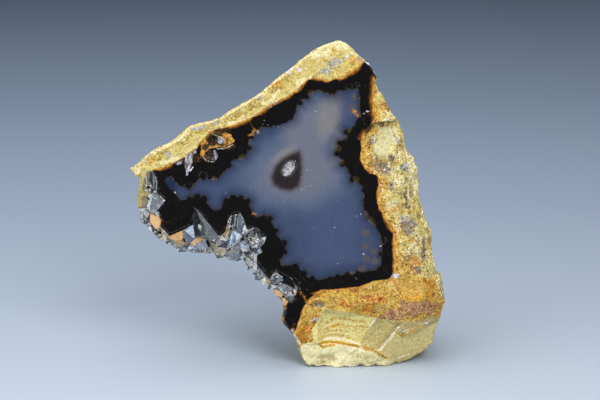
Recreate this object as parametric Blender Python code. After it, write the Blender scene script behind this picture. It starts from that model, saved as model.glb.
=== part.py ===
# Agate specimen: yellow host rock with a polished face, a black-rimmed blue agate in it,
# and clear quartz crystals along the broken lower left edge.
#
# Everything is drawn in a slab frame in millimetres: x runs right along the polished face,
# z runs up along it, and y is the depth behind it. The slab is then leaned back and stood
# on its flat foot, in metres, with the origin under the middle of its bounding box.
#
# Outlines on the face are points of a 600 x 400 front view of the specimen, x right and
# y down, which face_points turns into millimetres.

import math
import random

import bmesh
import bpy
import numpy as np
from mathutils import Matrix, Vector, geometry, noise

# Driving dimensions, in millimetres unless the name says otherwise
MM_PER_VIEW_UNIT = 0.245
VIEW_ORIGIN = (312.0, 367.5)
LEAN_DEGREES = 14.0
GROUND_BELOW_ORIGIN = 1.15
CONTACT_GAP = 0.3
BEVEL_WIDTH = 1.1
BEVEL_DROP = 0.9
FRONT_SPACING = 1.8
BACK_SPACING = 3.0
WALL_RINGS = 8
# The rough rock meets the agate flush, and takes its own depth over the ramp after a margin
FLUSH_MARGIN = 0.6
ROUGH_RAMP = 1.6
# How far the sides draw in towards the spine by the back, how deep the back's rim lies as a share
# of the back, and how far lumps push the sides in
BACK_INSET = 0.40
BACK_RIM_SHARE = 0.86
BACK_ROUND = 7.0
SIDE_INSET = 0.05
AGATE_DEPTH = 9.5
AGATE_TAPER = 0.12
# The agate's and the quartz's blocks start in front of the face. The crust starts behind it
BLOCK_START = -4.0
QUARTZ_FRONT = 1.1
QUARTZ_EDGE_DEPTH = 13.5
QUARTZ_INNER_DEPTH = 8.6
EYE_SIZE = (3.1, 4.4)
EYE_DEPTH = 2.4
EYE_TILT_DEGREES = 38.0
VUG_DEPTH = 1.7

# Lumps of the rough surfaces: height, size across and the seed of each layer
FRONT_LUMPS = [(0.45, 3.6, 5)]
SIDE_LUMPS = [(1.0, 6.5, 20), (0.6, 3.0, 31)]
SIDE_WAVES = [(0.7, 5.0, 47)]
BACK_LUMPS = [(1.1, 7.0, 61), (0.7, 3.4, 73)]
# How loosely a smooth surface follows the depths it is given
SURFACE_SLACK = 0.4
# A length past the whole specimen
BEYOND = 120.0
FLAT_WITHIN_DEGREES = 0.4

# The whole specimen, clockwise from the left tip
SPECIMEN_OUTLINE = [
    (129, 168), (136, 163), (144, 155.5), (153, 149), (160, 146), (168, 143), (175, 138),
    (180, 134), (185, 129), (192, 124), (200, 122.5), (211, 120), (221, 116), (230, 110),
    (240, 104), (250, 99), (260, 93), (268, 86), (275, 79), (290, 68), (300, 60), (310, 52),
    (320, 46), (330, 42), (338, 40), (347, 43), (356, 51), (363, 58), (370, 64), (375, 72),
    (376, 83), (379, 91), (387, 99), (392, 112), (398, 122), (404, 134), (407, 149),
    (413, 155), (418, 169), (421, 193), (424, 207), (426, 220), (429, 227), (433.5, 234),
    (431.5, 252), (435, 264), (439, 272), (443, 285), (445.5, 304), (443, 319), (439, 327),
    (436, 338), (430, 352), (418, 359.5), (410, 365), (396, 370), (380, 374), (352, 375),
    (330, 376), (316, 376), (306, 365), (301.5, 357), (296.5, 343), (293.5, 335), (283, 324),
    (281, 320), (283, 313), (285, 303), (281, 298), (275, 290),
    (264, 284), (260, 280), (252, 270), (245, 262), (240, 259), (234, 258), (230, 256),
    (225, 258), (216, 254), (200, 251.5), (184, 252), (176, 248), (173, 243), (162, 238.5),
    (150, 229), (140, 219), (137, 210), (137, 195), (138, 183), (136, 179), (133, 174),
]

# The agate's face, clockwise from its left end. It runs past the specimen where it is exposed
AGATE_OUTLINE = [
    (152, 170), (163, 167.5), (175, 162), (185, 157), (197, 148), (204, 138), (213, 129.5),
    (228, 126.5), (243, 121), (252, 117), (262, 110.5), (272, 103.5), (286, 97), (296, 91),
    (304, 82), (313, 77), (330, 80.5), (343, 76.5), (356, 69), (364, 62), (369, 57),
    (384, 74), (374.5, 79), (374, 90), (373, 100), (374, 110), (376, 118), (373, 126),
    (365, 135), (361, 145), (361, 158), (366, 168), (378, 177), (380, 184), (378, 200),
    (382, 211), (391, 226), (395, 236), (395, 250), (394, 271), (390, 279), (372, 281.5),
    (357, 288), (345, 290), (322, 291), (310, 298), (303, 308), (300, 318), (296, 330),
    (289, 340), (272, 322), (276, 306), (291, 300), (293, 294), (296, 288), (291, 277),
    (286, 280), (281, 278), (277, 273), (273, 276), (270, 282), (262, 272), (256, 262),
    (257, 257), (262, 253), (261, 248), (266, 238), (260, 237), (259, 231), (250, 229),
    (246, 231), (245, 224), (238, 213), (232, 216), (229, 225), (224, 234), (219, 237),
    (210, 227), (205, 219), (194.5, 208), (192, 226), (184, 230), (175, 234), (168.5, 236.5),
    (159.5, 226), (161, 221), (157, 213), (158, 209), (165, 201), (157, 192), (156.5, 181),
]

# Rock that was ground flush with the agate: the upper band, the top hump and the sliver right of it
FLUSH_ROCK_OUTLINE = [
    (150, 175), (149, 163), (146, 140), (190, 110), (250, 85), (300, 40), (340, 20), (385, 50),
    (400, 95), (404, 119), (376, 123), (366, 131), (330, 110), (250, 150), (180, 180),
]

# The quartz: its outer side runs past the specimen, its inner side lies under the agate
QUARTZ_OUTER = [
    (142, 172), (137, 182), (123, 186), (124, 200), (126, 222), (140, 236), (160, 250),
    (172, 262), (200, 264), (222, 270), (238, 272), (246, 284), (258, 294), (268, 302),
    (270, 309), (276, 312),
]
QUARTZ_INNER = [
    (160, 174), (168, 192), (172, 202), (170, 216), (176, 226), (188, 216), (194, 200),
    (220, 218), (240, 206), (268, 226), (272, 250), (282, 264), (300, 272), (304, 292),
]
# The crust that the points grow on stays a little inside the broken edge, where they need room
CRUST_OUTER = [
    (146, 172), (143, 178), (143, 184), (142, 196), (143, 209), (147, 217), (151, 228),
    (157, 240), (168, 246), (178, 246), (188, 246), (200, 245), (214, 248), (226, 252),
    (237, 256), (246, 284), (258, 294), (268, 302), (276, 312),
]

# Hand-set depths behind the polished plane: view x, view y, depth
ROUGH_FRONT_DEPTHS = [
    (375, 126, 0.6), (396, 123, 0.9), (404, 134, 2.2), (366, 134, 0.3), (385, 135, 0.2),
    (361, 150, 0.2), (380, 150, 0.0), (395, 150, 0.3), (407, 150, 2.2), (370, 170, 0.3),
    (390, 170, -0.2), (405, 165, 0.2), (417, 168, 2.6), (380, 190, 0.3), (400, 190, -0.4),
    (420, 193, 2.6), (384, 211, 0.3), (405, 212, 0.0), (425, 218, 2.8), (395, 235, 0.2),
    (412, 232, -0.4), (432, 235, 3.0), (395, 255, 0.2), (412, 255, -0.6), (430, 255, 2.6),
    (394, 272, 0.3), (415, 275, -0.4), (437, 275, 2.5), (444, 300, 4.0), (391, 279, 0.2),
    (360, 287, 0.1), (335, 290, 0.1), (313, 296, 0.1), (304, 308, 0.2), (298, 325, 0.4),
    (345, 298, -0.6), (375, 297, -0.9), (405, 292, -0.8), (425, 295, -0.2), (360, 308, -0.7),
    (395, 312, -0.6), (425, 312, 0.6), (441, 316, 4.5), (315, 308, -0.1), (306, 325, 0.5),
    (303, 345, 1.8), (297, 338, 2.0), (325, 325, 0.3), (355, 330, 0.5), (320, 345, 1.0),
    (350, 345, 1.2), (318, 364, 2.6), (345, 361, 2.8), (370, 363, 3.2), (385, 350, 2.0),
    (385, 330, 0.6), (405, 330, 1.0), (410, 345, 2.8), (425, 330, 3.0), (437, 337, 6.2),
    (430, 350, 7.4), (412, 360, 5.8), (397, 366, 4.6), (303, 354, 2.8), (131, 168, 1.6),
    (140, 165, 0.9), (137, 180, 1.6), (148, 170, 0.5), (145, 178, 1.0),
]
BACK_DEPTHS = [
    (135, 172, 12.5), (150, 205, 13.5), (190, 150, 15.0), (190, 220, 14.5), (232, 240, 15.5),
    (240, 120, 16.0), (250, 180, 17.5), (300, 80, 16.0), (300, 150, 19.5), (300, 230, 21.0),
    (335, 60, 15.0), (350, 100, 20.0), (370, 90, 17.5), (380, 150, 24.0), (340, 200, 26.0),
    (400, 200, 28.0), (420, 240, 31.5), (380, 260, 34.0), (335, 290, 31.0), (290, 300, 21.0),
    (420, 300, 38.0), (370, 315, 40.0), (335, 345, 37.0), (400, 345, 40.0), (350, 362, 39.0),
    (300, 340, 30.0),
]

# The middle line that the sides draw in towards, as they run back from the face
SPINE = [
    ((180, 192), (318, 172)), ((318, 172), (342, 96)), ((318, 172), (385, 250)),
    ((385, 250), (372, 322)),
]

# Flat flakes struck from the front: outline, then three points of the floor with their depths.
# Their straight sides start well in front of the face
FLAKE_START = -8.0
FLAKES = {
    "ledge": (
        [(374, 123.5), (398, 120.5), (416, 121), (416, 152), (374, 152), (364, 141), (367, 131)],
        [(376, 123, 1.9), (400, 121, 2.4), (385, 152, 0.1)],
    ),
    "pale_facet": (
        [(325, 309), (377, 318), (371, 327), (366, 348), (350, 344), (318, 345), (319, 325)],
        [(325, 309, 1.2), (377, 318, 1.5), (320, 345, 2.8)],
    ),
    "cream_facet": (
        [(296, 350), (318, 344), (335, 341.5), (350, 343), (364, 347.5), (354, 358),
         (347, 378), (305, 380)],
        [(320, 344, 1.5), (362, 348, 2.0), (318, 367, 2.9)],
    ),
    "tan_facet": (
        [(399, 327), (407, 337), (427, 324), (450, 318), (452, 380), (388, 380), (379, 351)],
        [(399, 328, 1.4), (380, 351, 2.0), (428, 345, 6.6)],
    ),
}
# Shell-shaped chips: middle in the view, ball radius and how deep the ball bites
CHIPS = {
    "hollow": ((370, 338), 12.0, 3.0),
    "flake_scar": ((411, 280), 11.0, 0.7),
    "lower_step": ((327, 371), 6.0, 3.9),
}
# Shell-shaped scars and small pits on the sides and the back. Each is struck towards an aim
# (view x, view y, depth) against the way the face there looks, with a ball of a radius, to a bite
SCOOPS = [
    ((392, 285, 20), (0.3, 1.0, 0.1), 20.0, 1.7), ((350, 262, 20), (-0.2, 1.0, -0.2), 16.0, 1.5),
    ((300, 190, 10), (-0.1, 1.0, 0.1), 22.0, 1.6), ((240, 165, 10), (-0.2, 1.0, 0.3), 14.0, 1.3),
    ((352, 122, 10), (0.2, 1.0, 0.3), 15.0, 1.5), ((200, 205, 10), (-0.3, 1.0, -0.3), 13.0, 1.1),
    ((425, 262, 16), (1.0, 0.3, 0.0), 14.0, 1.4), ((400, 175, 12), (1.0, 0.2, 0.2), 12.0, 1.2),
    ((420, 330, 22), (1.0, 0.2, -0.3), 14.0, 1.3), ((262, 110, 9), (-0.5, 0.5, 1.0), 12.0, 1.0),
    ((365, 90, 11), (1.0, 0.4, 0.4), 11.0, 1.0), ((315, 90, 9), (-0.4, 0.4, 1.0), 10.0, 0.9),
    ((375, 320, 25), (0.1, 1.0, -0.1), 13.0, 1.2), ((300, 318, 18), (-1.0, 0.3, 0.0), 12.0, 1.0),
    ((330, 225, 20), (-0.3, 1.0, 0.0), 2.2, 1.2), ((405, 225, 20), (0.5, 1.0, 0.0), 2.6, 1.3),
    ((275, 140, 10), (0.0, 1.0, 0.3), 2.0, 1.1), ((372, 170, 15), (0.2, 1.0, 0.1), 1.8, 1.0),
    ((385, 330, 25), (0.3, 1.0, 0.0), 2.4, 1.2), ((430, 200, 14), (1.0, 0.3, 0.1), 2.0, 1.0),
]
# Breaks on the sides and the back: view x, view y, depth, and the way the broken face looks
BREAKS = [
    ((340, 60), 15.0, (0.15, 1.0, 0.55)),
    ((225, 130), 17.5, (-0.18, 1.0, 0.45)),
    ((160, 200), 15.5, (-0.50, 1.0, -0.20)),
    ((262, 235), 22.0, (-0.35, 1.0, 0.0)),
    ((428, 215), 25.0, (1.0, 0.80, 0.15)),
    ((440, 290), 29.0, (1.0, 0.60, 0.10)),
    ((355, 150), 24.5, (0.10, 1.0, 0.18)),
]

# Quartz points on the front: base and tip in the view, width, depth of base and tip, roll
FRONT_CRYSTALS = [
    ((146, 201), (164, 201), 3.0, 2.2, 0.8, 10), ((146, 178), (152, 190), 3.6, 2.6, 0.9, 35),
    ((150, 196), (144, 178), 3.2, 2.4, 1.0, 5), ((141, 203), (147, 196), 2.6, 2.0, 0.6, 50),
    ((144, 222), (146, 208), 2.8, 2.4, 0.7, 15), ((156, 228), (153, 214), 2.8, 2.6, 0.8, 40),
    ((150, 232), (164, 233), 2.4, 2.4, 0.9, 0), ((178, 250), (176, 236), 3.4, 2.6, 0.7, 25),
    ((190, 247), (187, 230), 3.0, 2.8, 0.8, 10), ((205, 250), (195, 209), 5.6, 3.4, 0.5, 12),
    ((212, 250), (203, 234), 3.6, 2.6, 0.6, 45), ((221, 256), (215, 240), 3.0, 2.6, 1.0, 20),
    ((232, 246), (231, 217), 2.8, 2.6, 0.6, 30), ((240, 250), (238, 214), 3.4, 3.0, 0.5, 8),
    ((233, 258), (240, 236), 4.2, 2.4, 0.3, 22), ((251, 252), (252, 230), 3.8, 2.8, 0.6, 50),
    ((250, 250), (265, 239), 2.8, 2.6, 0.6, 5), ((246, 262), (261, 251), 2.8, 2.4, 0.9, 33),
    ((252, 266), (254, 254), 2.4, 2.4, 0.7, 14), ((258, 279), (259, 270), 2.0, 2.2, 1.0, 40),
    ((276, 288), (276, 274), 2.6, 2.6, 0.7, 18), ((281, 296), (290, 279), 3.0, 2.8, 0.6, 27),
    ((284, 300), (294, 289), 2.6, 2.4, 0.8, 0),
]
# Smaller points that stand out of the broken edge, in rows from the face to the back. Each is rooted
# inside the edge, deeper in the rows behind, and leans to a side and to the back by a random share
EDGE_CRYSTALS = {
    "rows": (2.6, 5.3, 8.0, 10.4),
    "row_wander": 0.8,
    "spacing": 2.8,
    "root": 2.3,
    "root_by_depth": 0.1,
    "length": (2.7, 3.6),
    "width": (1.9, 3.4),
    "side_lean": (-0.5, 0.5),
    "back_lean": (-0.5, 0.7),
}
EDGE_PATH = [
    (141, 188), (141, 214), (156, 231), (178, 247), (202, 249), (222, 253), (238, 256),
    (250, 264), (262, 279), (276, 288), (285, 299),
]

EYE_CENTRE = (288.5, 168.5)
VUGS = {
    "vug_druse_upper": ((212.5, 140.0), (2.3, 2.7), 12.0),
    "vug_druse_lower": ((209.0, 156.0), (2.1, 2.2), -30.0),
}

# The share of a crystal's width that its tip takes, the share that its sides draw in by, and how
# far its corners reach, so that it isn't a regular hexagon
CRYSTAL = {"tip": 0.75, "least_side": 0.3, "draw_in": 0.88, "corners": (1.12, 0.94, 0.94)}

# A druse: its gap to the hollow, how far it reaches over the hollow, its skin, and the height of
# its tall points, its middle and the low points between, which are a share of the tall ones
DRUSE = {"gap": 0.14, "reach": 0.93, "skin": 0.16, "tips": (0.30, 0.75), "middle": 0.12, "low": 0.35}


def face_points(points):
    """Points of the front view as x and z on the polished face."""
    view = np.array(points, float)
    right = view[:, 0] - VIEW_ORIGIN[0]
    up = VIEW_ORIGIN[1] - view[:, 1]
    return np.column_stack((right, up)) * MM_PER_VIEW_UNIT


def depth_surface(controls):
    """A smooth depth over the face that passes close to the hand-set depths."""
    flat = face_points([control[:2] for control in controls])
    depths = np.array([control[2] for control in controls], float)

    def kernel(points):
        gap = np.linalg.norm(points[:, None] - flat[None], axis=2) + 1e-9
        return gap**2 * np.log(gap)

    def plane(points):
        return np.column_stack((np.ones(len(points)), points))

    count = len(flat)
    system = np.zeros((count + 3, count + 3))
    system[:count, :count] = kernel(flat) + SURFACE_SLACK * np.eye(count)
    system[:count, count:] = plane(flat)
    system[count:, :count] = plane(flat).T
    weights = np.linalg.solve(system, np.append(depths, np.zeros(3)))

    def depth(points):
        return kernel(points) @ weights[:count] + plane(points) @ weights[count:]

    return depth


def segment_distance(points, starts, ends):
    """The distance from each point to the nearest segment, and the nearest point itself."""
    along = ends - starts
    share = ((points[:, None] - starts) * along).sum(2) / (along**2).sum(1)
    nearest = starts + np.clip(share, 0, 1)[..., None] * along
    gap = np.linalg.norm(points[:, None] - nearest, axis=2)
    pick = gap.argmin(1)
    rows = np.arange(len(points))
    return gap[rows, pick], nearest[rows, pick]


def outline_distance(points, outline):
    return segment_distance(points, outline, np.roll(outline, -1, axis=0))[0]


def inside(points, outline):
    """Which points lie inside the closed outline."""
    found = np.zeros(len(points), bool)
    for start, end in zip(outline, np.roll(outline, -1, axis=0)):
        crosses = (start[1] > points[:, 1]) != (end[1] > points[:, 1])
        if start[1] != end[1]:
            at = start[0] + (points[:, 1] - start[1]) / (end[1] - start[1]) * (end[0] - start[0])
            found ^= crosses & (points[:, 0] < at)
    return found


def grown(outline, distance):
    """The outline moved out by the distance, corner by corner, for a clockwise outline."""
    before = outline - np.roll(outline, 1, axis=0)
    after = np.roll(outline, -1, axis=0) - outline
    before /= np.linalg.norm(before, axis=1)[:, None]
    after /= np.linalg.norm(after, axis=1)[:, None]
    outward = np.column_stack((-(before + after)[:, 1], (before + after)[:, 0]))
    outward /= np.linalg.norm(outward, axis=1)[:, None]
    cosine = (outward * np.column_stack((-before[:, 1], before[:, 0]))).sum(1)
    return outline + outward * (distance / np.clip(cosine, 0.5, 1))[:, None]


def bumps(points, layers):
    """Layers of smooth noise added up, one value a point."""
    total = np.zeros(len(points))
    for height, size, seed in layers:
        shift = Vector((seed, 0, 0))
        total += [height * noise.noise(Vector(point) / size + shift) for point in points]
    return total


def grid_inside(outline, spacing, margin, seed):
    """A jittered grid of points that keeps a margin to the outline."""
    pick = random.Random(seed)
    low = outline.min(0)
    high = outline.max(0)
    spots = []
    for row in range(int((high[1] - low[1]) / spacing) + 2):
        for column in range(int((high[0] - low[0]) / spacing) + 2):
            shift = 0.5 * (row % 2)
            x = low[0] + (column + shift + pick.uniform(-0.22, 0.22)) * spacing
            z = low[1] + (row + pick.uniform(-0.22, 0.22)) * spacing
            spots.append((x, z))
    spots = np.array(spots)
    spots = spots[inside(spots, outline)]
    return spots[outline_distance(spots, outline) > margin]


def sheet(outline, inner):
    """Triangles that fill the outline and pass through the inner points."""
    count = len(outline)
    corners = [Vector(point) for point in np.vstack((outline, inner))]
    edges = [(i, (i + 1) % count) for i in range(count)]
    _, _, faces, source, _, _ = geometry.delaunay_2d_cdt(corners, edges, [], 1, 1e-5)
    place = [ids[0] for ids in source]
    return [tuple(place[corner] for corner in face) for face in faces]


def add_object(name, corners, faces):
    """A mesh object in the slab frame, its faces turned outward."""
    mesh = bpy.data.meshes.new(name)
    mesh.from_pydata([tuple(corner) for corner in corners], [], faces)
    work = bmesh.new()
    work.from_mesh(mesh)
    bmesh.ops.recalc_face_normals(work, faces=work.faces)
    work.to_mesh(mesh)
    work.free()
    thing = bpy.data.objects.new(name, mesh)
    bpy.context.scene.collection.objects.link(thing)
    return thing


def combine(thing, others, operation, solver="EXACT"):
    """Joins, cuts or trims the object with the others, which are then taken away."""
    for other in others:
        other.hide_render = True
        other.display_type = "WIRE"
        step = thing.modifiers.new(operation.title(), "BOOLEAN")
        step.operation = operation
        step.solver = solver
        step.object = other
    settle(thing)
    for other in others:
        bpy.data.objects.remove(other)
    return thing


def settle(thing):
    """Turns the object's modifiers into plain mesh."""
    graph = bpy.context.evaluated_depsgraph_get()
    made = bpy.data.meshes.new_from_object(thing.evaluated_get(graph))
    thing.modifiers.clear()
    thing.data = made


def towards_spine(points, share):
    """The points moved part of the way to the nearest place on the spine."""
    spine = face_points([end for segment in SPINE for end in segment])
    nearest = segment_distance(points, spine[0::2], spine[1::2])[1]
    return points + (nearest - points) * share


def prism(name, outline, front, backs, taper=0.0):
    """A block behind an outline, to a depth for each corner. It may taper as it runs back."""
    count = len(outline)
    backs = np.broadcast_to(backs, count)
    corners = [(x, front, z) for x, z in outline]
    corners += [(x, back, z) for (x, z), back in zip(towards_spine(outline, taper), backs)]
    faces = [(i, (i + 1) % count, (i + 1) % count + count, i + count) for i in range(count)]
    for side in (range(count), range(count, 2 * count)):
        flat = [Vector((corners[i][0], corners[i][2])) for i in side]
        edges = [(i, (i + 1) % count) for i in range(count)]
        _, _, caps, source, _, _ = geometry.delaunay_2d_cdt(flat, edges, [], 1, 1e-6)
        faces += [tuple(side[source[corner][0]] for corner in cap) for cap in caps]
    return add_object(name, corners, faces)


def front_depth(points, outline, agate):
    """How far the front surface lies behind the polished plane."""
    flush = inside(points, face_points(FLUSH_ROCK_OUTLINE)) | inside(points, agate)
    quartz = inside(points, face_points(QUARTZ_OUTER + QUARTZ_INNER[::-1]))
    rough = depth_surface(ROUGH_FRONT_DEPTHS)(points)
    rough += bumps(np.insert(points, 1, 0, axis=1), FRONT_LUMPS)
    ramp = np.clip((outline_distance(points, agate) - FLUSH_MARGIN) / ROUGH_RAMP, 0, 1)
    level = np.where(flush | quartz, 0, rough * ramp)
    edge = np.clip(1 - outline_distance(points, outline) / BEVEL_WIDTH, 0, 1)
    return level + np.where(flush, BEVEL_DROP * edge, 0)


def specimen():
    """The whole closed specimen: front, sides drawn in towards the spine, and a lumpy back."""
    outline = face_points(SPECIMEN_OUTLINE)
    agate = face_points(AGATE_OUTLINE)
    count = len(outline)
    contact = grown(agate, 0.5)
    bevel = grown(outline, -BEVEL_WIDTH)
    inner = grid_inside(outline, FRONT_SPACING, BEVEL_WIDTH + 0.9, 11)
    inner = inner[~inside(inner, grown(agate, 1.3))]
    inner = inner[~inside(inner, face_points(QUARTZ_OUTER + QUARTZ_INNER[::-1]))]
    for line in (contact, bevel):
        line = line[inside(line, outline)]
        line = line[outline_distance(line, outline) > 0.5]
        inner = np.vstack((inner, line))
    front = np.vstack((outline, inner))
    depths = front_depth(front, outline, agate)
    corners = [(x, depth, z) for (x, z), depth in zip(front, depths)]
    faces = sheet(outline, inner)

    back_depth = depth_surface(BACK_DEPTHS)
    rim = depths[:count]
    last = list(range(count))
    for ring in range(1, WALL_RINGS + 1):
        share = ring / WALL_RINGS
        flat = towards_spine(outline, BACK_INSET * share**2.4)
        deep = rim + (BACK_RIM_SHARE * back_depth(flat) - rim) * share**0.9
        solid = np.column_stack((flat[:, 0], deep, flat[:, 1]))
        lump = SIDE_INSET * (1 + bumps(solid, SIDE_LUMPS))
        flat = towards_spine(flat, (lump * min(1.0, 2.5 * share))[:, None])
        deep = deep + bumps(solid, SIDE_WAVES) * share
        start = len(corners)
        corners += [(x, depth, z) for (x, z), depth in zip(flat, deep)]
        now = list(range(start, start + count))
        for i in range(count):
            after = (i + 1) % count
            faces.append((last[i], last[after], now[after], now[i]))
        last = now
    inner = grid_inside(flat, BACK_SPACING, 0.5 * BACK_SPACING, 23)
    edge = np.clip(outline_distance(inner, flat) / BACK_ROUND, 0, 1)
    solid = np.insert(inner, 1, 0, axis=1)
    deep = back_depth(inner) * (BACK_RIM_SHARE + (1 - BACK_RIM_SHARE) * np.sin(edge * math.pi / 2))
    deep += bumps(solid, BACK_LUMPS)
    place = last + list(range(len(corners), len(corners) + len(inner)))
    corners += [(x, depth, z) for (x, z), depth in zip(inner, deep)]
    faces += [tuple(place[corner] for corner in face) for face in sheet(flat, inner)]
    return add_object("specimen", corners, faces)


def half_space(spot, looks):
    """A large block that takes away everything beyond a plane."""
    looks = Vector(looks).normalized()
    block = bmesh.new()
    bmesh.ops.create_cube(block, size=2 * BEYOND)
    turn = looks.to_track_quat("Z", "Y").to_matrix().to_4x4()
    place = Matrix.Translation(Vector(spot) + BEYOND * looks)
    bmesh.ops.transform(block, matrix=place @ turn, verts=block.verts)
    mesh = bpy.data.meshes.new("break")
    block.to_mesh(mesh)
    block.free()
    thing = bpy.data.objects.new("break", mesh)
    bpy.context.scene.collection.objects.link(thing)
    return thing


def ball(name, centre, radii, turn=0.0, detail=3):
    """A faceted ball or egg. The turn is about the depth axis, in degrees. Less detail, fewer faces."""
    work = bmesh.new()
    bmesh.ops.create_icosphere(work, subdivisions=detail, radius=1.0)
    matrix = Matrix.Translation(centre) @ Matrix.Rotation(math.radians(turn), 4, "Y")
    matrix = matrix @ Matrix.Diagonal((*radii, 1.0))
    bmesh.ops.transform(work, matrix=matrix, verts=work.verts)
    mesh = bpy.data.meshes.new(name)
    work.to_mesh(mesh)
    work.free()
    thing = bpy.data.objects.new(name, mesh)
    bpy.context.scene.collection.objects.link(thing)
    return thing


def flake(name, outline, floor):
    """A cutter with straight sides and a flat tilted floor."""
    flat = face_points(outline)
    spots = face_points([spot[:2] for spot in floor])
    system = np.column_stack((np.ones(3), spots))
    tilt = np.linalg.solve(system, [spot[2] for spot in floor])
    return prism(name, flat, FLAKE_START, tilt[0] + flat @ tilt[1:])


def chip(name, spot, radius, bite):
    x, z = face_points([spot])[0]
    return ball(name, (x, bite - radius, z), (radius,) * 3)


def scoop(stone, aim, looks, radius, bite):
    """A coarse ball that bites into the stone's skin where a line from the aim leaves it."""
    x, z = face_points([aim[:2]])[0]
    looks = Vector(looks).normalized()
    far = Vector((x, aim[2], z)) + BEYOND * looks
    hit, skin, _, _ = stone.ray_cast(far, -looks)
    return ball("scoop", skin + (radius - bite) * looks, (radius,) * 3, 7.0 * aim[0], 2)


def lean_matrix():
    """Leans the slab back and sets it against the ground, which cuts its foot flat."""
    lean = Matrix.Rotation(-math.radians(LEAN_DEGREES), 4, "X")
    return Matrix.Translation((0, 0, GROUND_BELOW_ORIGIN)) @ lean


def ground():
    """The space under the ground, in the slab frame."""
    back = lean_matrix().inverted()
    return half_space(back @ Vector((0, 0, 0)), back.to_3x3() @ Vector((0, 0, -1)))


def whole_stone():
    """The specimen with its flakes, chips, breaks and foot."""
    stone = specimen()
    cutters = [flake(name, *shape) for name, shape in FLAKES.items()]
    cutters += [chip(name, *shape) for name, shape in CHIPS.items()]
    cutters += [scoop(stone, *shape) for shape in SCOOPS]
    for spot, depth, looks in BREAKS:
        x, z = face_points([spot])[0]
        cutters.append(half_space((x, depth, z), looks))
    cutters.append(ground())
    return combine(stone, cutters, "DIFFERENCE")


def copy_of(thing, name):
    twin = bpy.data.objects.new(name, thing.data.copy())
    bpy.context.scene.collection.objects.link(twin)
    return twin


def agate_block(gap):
    """The agate's space. It tapers a little as it runs back."""
    outline = grown(face_points(AGATE_OUTLINE), gap)
    return prism("agate_block", outline, BLOCK_START - gap, AGATE_DEPTH + gap, AGATE_TAPER)


def quartz_block(outer, front, gap):
    """The quartz's space: deep at the broken edge, shallower where it meets the agate."""
    outline = grown(face_points(outer + QUARTZ_INNER[::-1])[::-1], gap)
    depths = np.array([QUARTZ_EDGE_DEPTH] * len(outer) + [QUARTZ_INNER_DEPTH] * len(QUARTZ_INNER))
    return prism("quartz_block", outline, front - gap, depths[::-1] + gap)


def crystal(base, tip, width, roll):
    """One six-sided quartz point from base to tip, both in the slab frame."""
    base = Vector(base)
    along = Vector(tip) - base
    turn = along.to_track_quat("Z", "Y").to_matrix() @ Matrix.Rotation(math.radians(roll), 3, "Z")
    shoulder = along.length - CRYSTAL["tip"] * width
    shoulder = max(shoulder, CRYSTAL["least_side"] * along.length)
    corners = []
    for height, share in ((0.0, 1.0), (shoulder, CRYSTAL["draw_in"])):
        for i in range(6):
            angle = i * math.pi / 3
            reach = 0.5 * width * share * CRYSTAL["corners"][i % 3]
            corner = Vector((reach * math.cos(angle), reach * math.sin(angle), height))
            corners.append(base + turn @ corner)
    corners.append(base + turn @ Vector((0, 0, along.length)))
    faces = [(5, 4, 3, 2, 1, 0)]
    for i in range(6):
        after = (i + 1) % 6
        faces.append((i, after, after + 6, i + 6))
        faces.append((i + 6, after + 6, 12))
    return add_object("crystal", corners, faces)


def edge_points():
    """Evenly spaced places along the broken edge, with the way that leads out of it."""
    path = face_points(EDGE_PATH)
    places = []
    for start, end in zip(path, path[1:]):
        along = end - start
        steps = max(1, round(np.linalg.norm(along) / EDGE_CRYSTALS["spacing"]))
        away = np.array((along[1], -along[0])) / np.linalg.norm(along)
        away = -away if away.sum() > 0 else away
        places += [(start + along * step / steps, away) for step in range(steps)]
    return places


def quartz_crystals(stone):
    """The crust along the broken edge with its points, joined in one solid."""
    crust = copy_of(stone, "quartz_crystals")
    combine(crust, [quartz_block(CRUST_OUTER, QUARTZ_FRONT, 0.0)], "INTERSECT")
    points = []
    for base, tip, width, base_depth, tip_depth, roll in FRONT_CRYSTALS:
        (bx, bz), (tx, tz) = face_points([base, tip])
        points.append(crystal((bx, base_depth, bz), (tx, tip_depth, tz), width, roll))
    pick = random.Random(7)
    for depth in EDGE_CRYSTALS["rows"]:
        for (x, z), away in edge_points():
            length = pick.uniform(*EDGE_CRYSTALS["length"])
            width = pick.uniform(*EDGE_CRYSTALS["width"])
            deep = depth + EDGE_CRYSTALS["row_wander"] * pick.uniform(-1, 1)
            lean = pick.uniform(*EDGE_CRYSTALS["side_lean"])
            out = np.array((away[0] - lean * away[1], away[1] + lean * away[0]))
            out *= length / np.linalg.norm(out)
            sink = EDGE_CRYSTALS["root"] + EDGE_CRYSTALS["root_by_depth"] * deep
            root = np.array((x, z)) - away * sink
            tip = root + out
            tip_deep = deep + pick.uniform(*EDGE_CRYSTALS["back_lean"])
            roll = pick.uniform(0, 60)
            ends = (root[0], deep, root[1]), (tip[0], tip_deep, tip[1])
            points.append(crystal(*ends, width, roll))
    combine(crust, points, "UNION", "MANIFOLD")
    combine(crust, [quartz_block(QUARTZ_OUTER, BLOCK_START, 0.0)], "INTERSECT", "MANIFOLD")
    return combine(crust, [agate_block(CONTACT_GAP)], "DIFFERENCE", "MANIFOLD")


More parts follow.
